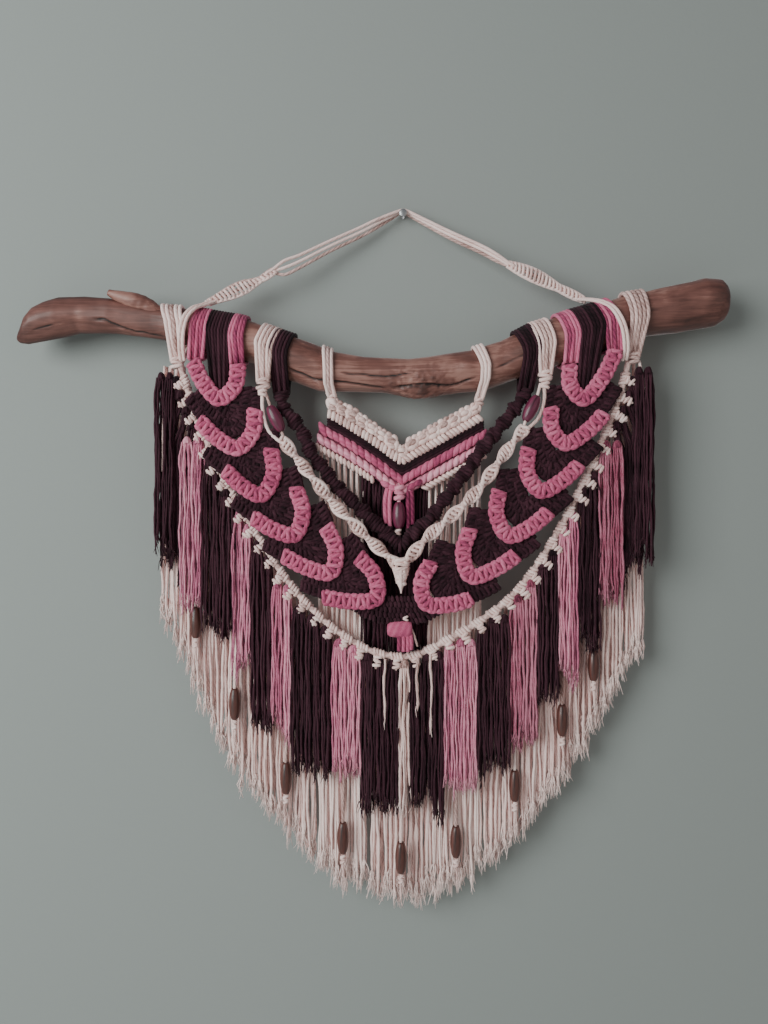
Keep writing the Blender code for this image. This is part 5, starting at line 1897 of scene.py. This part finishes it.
@dataclass
class Studio:
    """Plain wall and floor, soft lights and the camera at the photograph's place."""

    eye: tuple[float, float, float] = (-20.7, -959.0, -323.9)
    focal_px: float = 871.2
    frame_px: int = 1024
    sensor_mm: float = 36.0
    wall_mm: float = 0.6
    floor_mm: float = -1250.0
    wall: MattPaint = MattPaint("wall_paint", "", "#909593")
    ground: MattPaint = MattPaint("floor_paint", "", "#c9cdca")

    def build(self) -> None:
        """Set up the stage, the lights and the camera."""
        y, z = self.wall_mm * MM, self.floor_mm * MM
        self.plane("studio_wall", [(-4, y, z), (4, y, z), (4, y, 3), (-4, y, 3)], self.wall)
        self.plane("studio_floor", [(-4, -5, z), (4, -5, z), (4, 4, z), (-4, 4, z)], self.ground)
        self.one_sided(bpy.data.objects["studio_wall"])
        self.lamp("key", (-1.5, -1.65, 0.12), (0.0, 0.0, -0.42), 1.4, 55.0, "#f6fbf8")
        self.lamp("fill", (1.7, -1.9, -0.1), (0.0, 0.0, -0.4), 1.8, 5.0, "#ffeedd")
        self.lamp("back", (0.5, 1.8, 0.2), (0.0, 0.0, -0.4), 1.6, 9.0, "#ffffff")
        world = bpy.data.worlds.new("studio_air")
        world.use_nodes = True
        air = world.node_tree.nodes["Background"].inputs
        air["Color"].default_value = linear("#e9edf0")
        air["Strength"].default_value = 0.3
        bpy.context.scene.world = world
        self.camera()

    def plane(self, name: str, corners: list, paint: MattPaint) -> None:
        """Make a stage plane.

        Args:
            name: Name of the plane.
            corners: Its corners, in metres.
            paint: Its finish.
        """
        mesh = bpy.data.meshes.new(name)
        mesh.from_pydata(corners, [], [(0, 1, 2, 3)])
        mesh.materials.append(paint.material())
        thing = bpy.data.objects.new(name, mesh)
        bpy.context.scene.collection.objects.link(thing)

    def one_sided(self, wall: bpy.types.Object) -> None:
        """Let the wall be seen from its front alone, so that the hanging's back can be looked at.

        Args:
            wall: The stage plane behind the hanging.
        """
        wall.visible_diffuse = False
        wall.visible_glossy = False
        wall.visible_shadow = False
        tree = wall.data.materials[0].node_tree
        nodes = Nodes(tree)
        facing, clear = nodes.add("NewGeometry"), nodes.add("BsdfTransparent")
        paint = tree.nodes["Principled BSDF"]
        mix = nodes.add("MixShader", links={0: facing.outputs["Backfacing"],
                                            1: paint.outputs["BSDF"], 2: clear.outputs["BSDF"]})
        nodes.fill(tree.nodes["Material Output"], {}, {"Surface": mix.outputs["Shader"]})

    def lamp(self, name: str, place: tuple, target: tuple, size: float, power: float,
             colour: str) -> None:
        """Hang a square soft light.

        Args:
            name: Name of the light.
            place: Where it hangs, in metres.
            target: What it points at.
            size: Side of the square.
            power: Its power in watts.
            colour: Its hex colour.
        """
        light = bpy.data.lights.new(name, "AREA")
        light.size = size
        light.energy = power
        light.color = linear(colour)[:3]
        lamp = bpy.data.objects.new(name, light)
        lamp.location = place
        lamp.rotation_euler = (Vector(target) - Vector(place)).to_track_quat("-Z", "Y").to_euler()
        bpy.context.scene.collection.objects.link(lamp)

    def camera(self) -> None:
        """Look straight at the wall from the photograph's place, with its focal length."""
        lens = bpy.data.cameras.new("camera")
        lens.sensor_fit = "AUTO"
        lens.sensor_width = self.sensor_mm
        lens.lens = self.focal_px * self.sensor_mm / self.frame_px
        lens.clip_start = 0.02
        lens.clip_end = 50.0
        camera = bpy.data.objects.new("camera", lens)
        camera.location = [part * MM for part in self.eye]
        camera.rotation_euler = (math.pi / 2, 0.0, 0.0)
        bpy.context.scene.collection.objects.link(camera)
        bpy.context.scene.camera = camera


def beads() -> list[Bead]:
    """Return the hanging's twelve beads."""
    lean = math.atan2(14, 28)
    plum = [Bead("plum_bead_left", Dye.PLUM, -132.5, -227.5, SPIRAL_Y, 6.9, 29, -lean),
            Bead("plum_bead_right", Dye.PLUM, 131.5, -217, SPIRAL_Y, 6.9, 29, lean),
            Bead("plum_bead_centre", Dye.PLUM, -5, -327.5, CENTRE_BEAD_Y, 7.0, 28)]
    # The fifth hangs below the cream tassel, further forward than the others.
    places = [(-219, -440), (-178, -526), (-124, -604), (-64, -667), (-3, -685), (55, -671),
              (117, -612), (167, -543), (200, -485)]
    depths = [CENTRE_STRAND_Y if k == 5 else BROWN_BEAD_Y for k in range(1, 10)]
    brown = [Bead(f"brown_bead_{k}", Dye.BROWN, x, z, y, 6.1, 33)
             for k, ((x, z), y) in enumerate(zip(places, depths), start=1)]
    return plum + brown


def tassels() -> list[Tassel]:
    """Return the nineteen tassels from left to right."""
    # Tassels 14 and 18 take the darker copy of the blush dye as painted shade.
    rows = [(Dye.AUBERGINE, -258, -240, -178, -364), (Dye.BLUSH, -232, -209, -254, -421),
            (Dye.AUBERGINE, -208, -178, -266, -447), (Dye.BLUSH, -177, -159, -327, -479),
            (Dye.AUBERGINE, -158, -138, -360, -541), (Dye.PETAL, -137, -117, -405, -547),
            (Dye.AUBERGINE, -116, -75, -430, -594), (Dye.PETAL, -74, -45, -465, -599),
            (Dye.AUBERGINE, -44, -5, -478, -630), (Dye.CREAM, -4, 6, -479, -634),
            (Dye.AUBERGINE, 7, 42, -478, -630), (Dye.PETAL, 43, 76, -465, -609),
            (Dye.AUBERGINE, 77, 111, -440, -594), (Dye.DUSK, 112, 139, -400, -557),
            (Dye.AUBERGINE, 140, 162, -370, -520), (Dye.PETAL, 163, 182, -332, -491),
            (Dye.AUBERGINE, 183, 204, -290, -458), (Dye.DUSK, 205, 229, -258, -421),
            (Dye.AUBERGINE, 241, 260, -172, -374)]
    return [Tassel(number, *row) for number, row in enumerate(rows, start=1)]


def main() -> None:
    """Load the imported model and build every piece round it."""
    logging.basicConfig(level=logging.INFO, format="%(name)s: %(message)s")
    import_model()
    Studio().build()
    branch = Branch()
    branch.build()
    Nail().build()
    HangingCord(branch).build()
    for side in Side:
        LeafChain(side, branch).build()
    LeafJoin().build()
    SpiralV(branch).build()
    DarkV(branch).build()
    chevron = Chevron(branch)
    chevron.build()
    swag = Swag(branch)
    swag.build()
    for tassel in tassels():
        tassel.build(swag)
    SideTassels().build(swag)
    Fringe(swag, chevron).build()
    hung = beads()
    for bead in hung:
        bead.build()
    BeadStrands([bead for bead in hung if bead.dye is Dye.BROWN]).build()


if __name__ == "__main__":
    main()
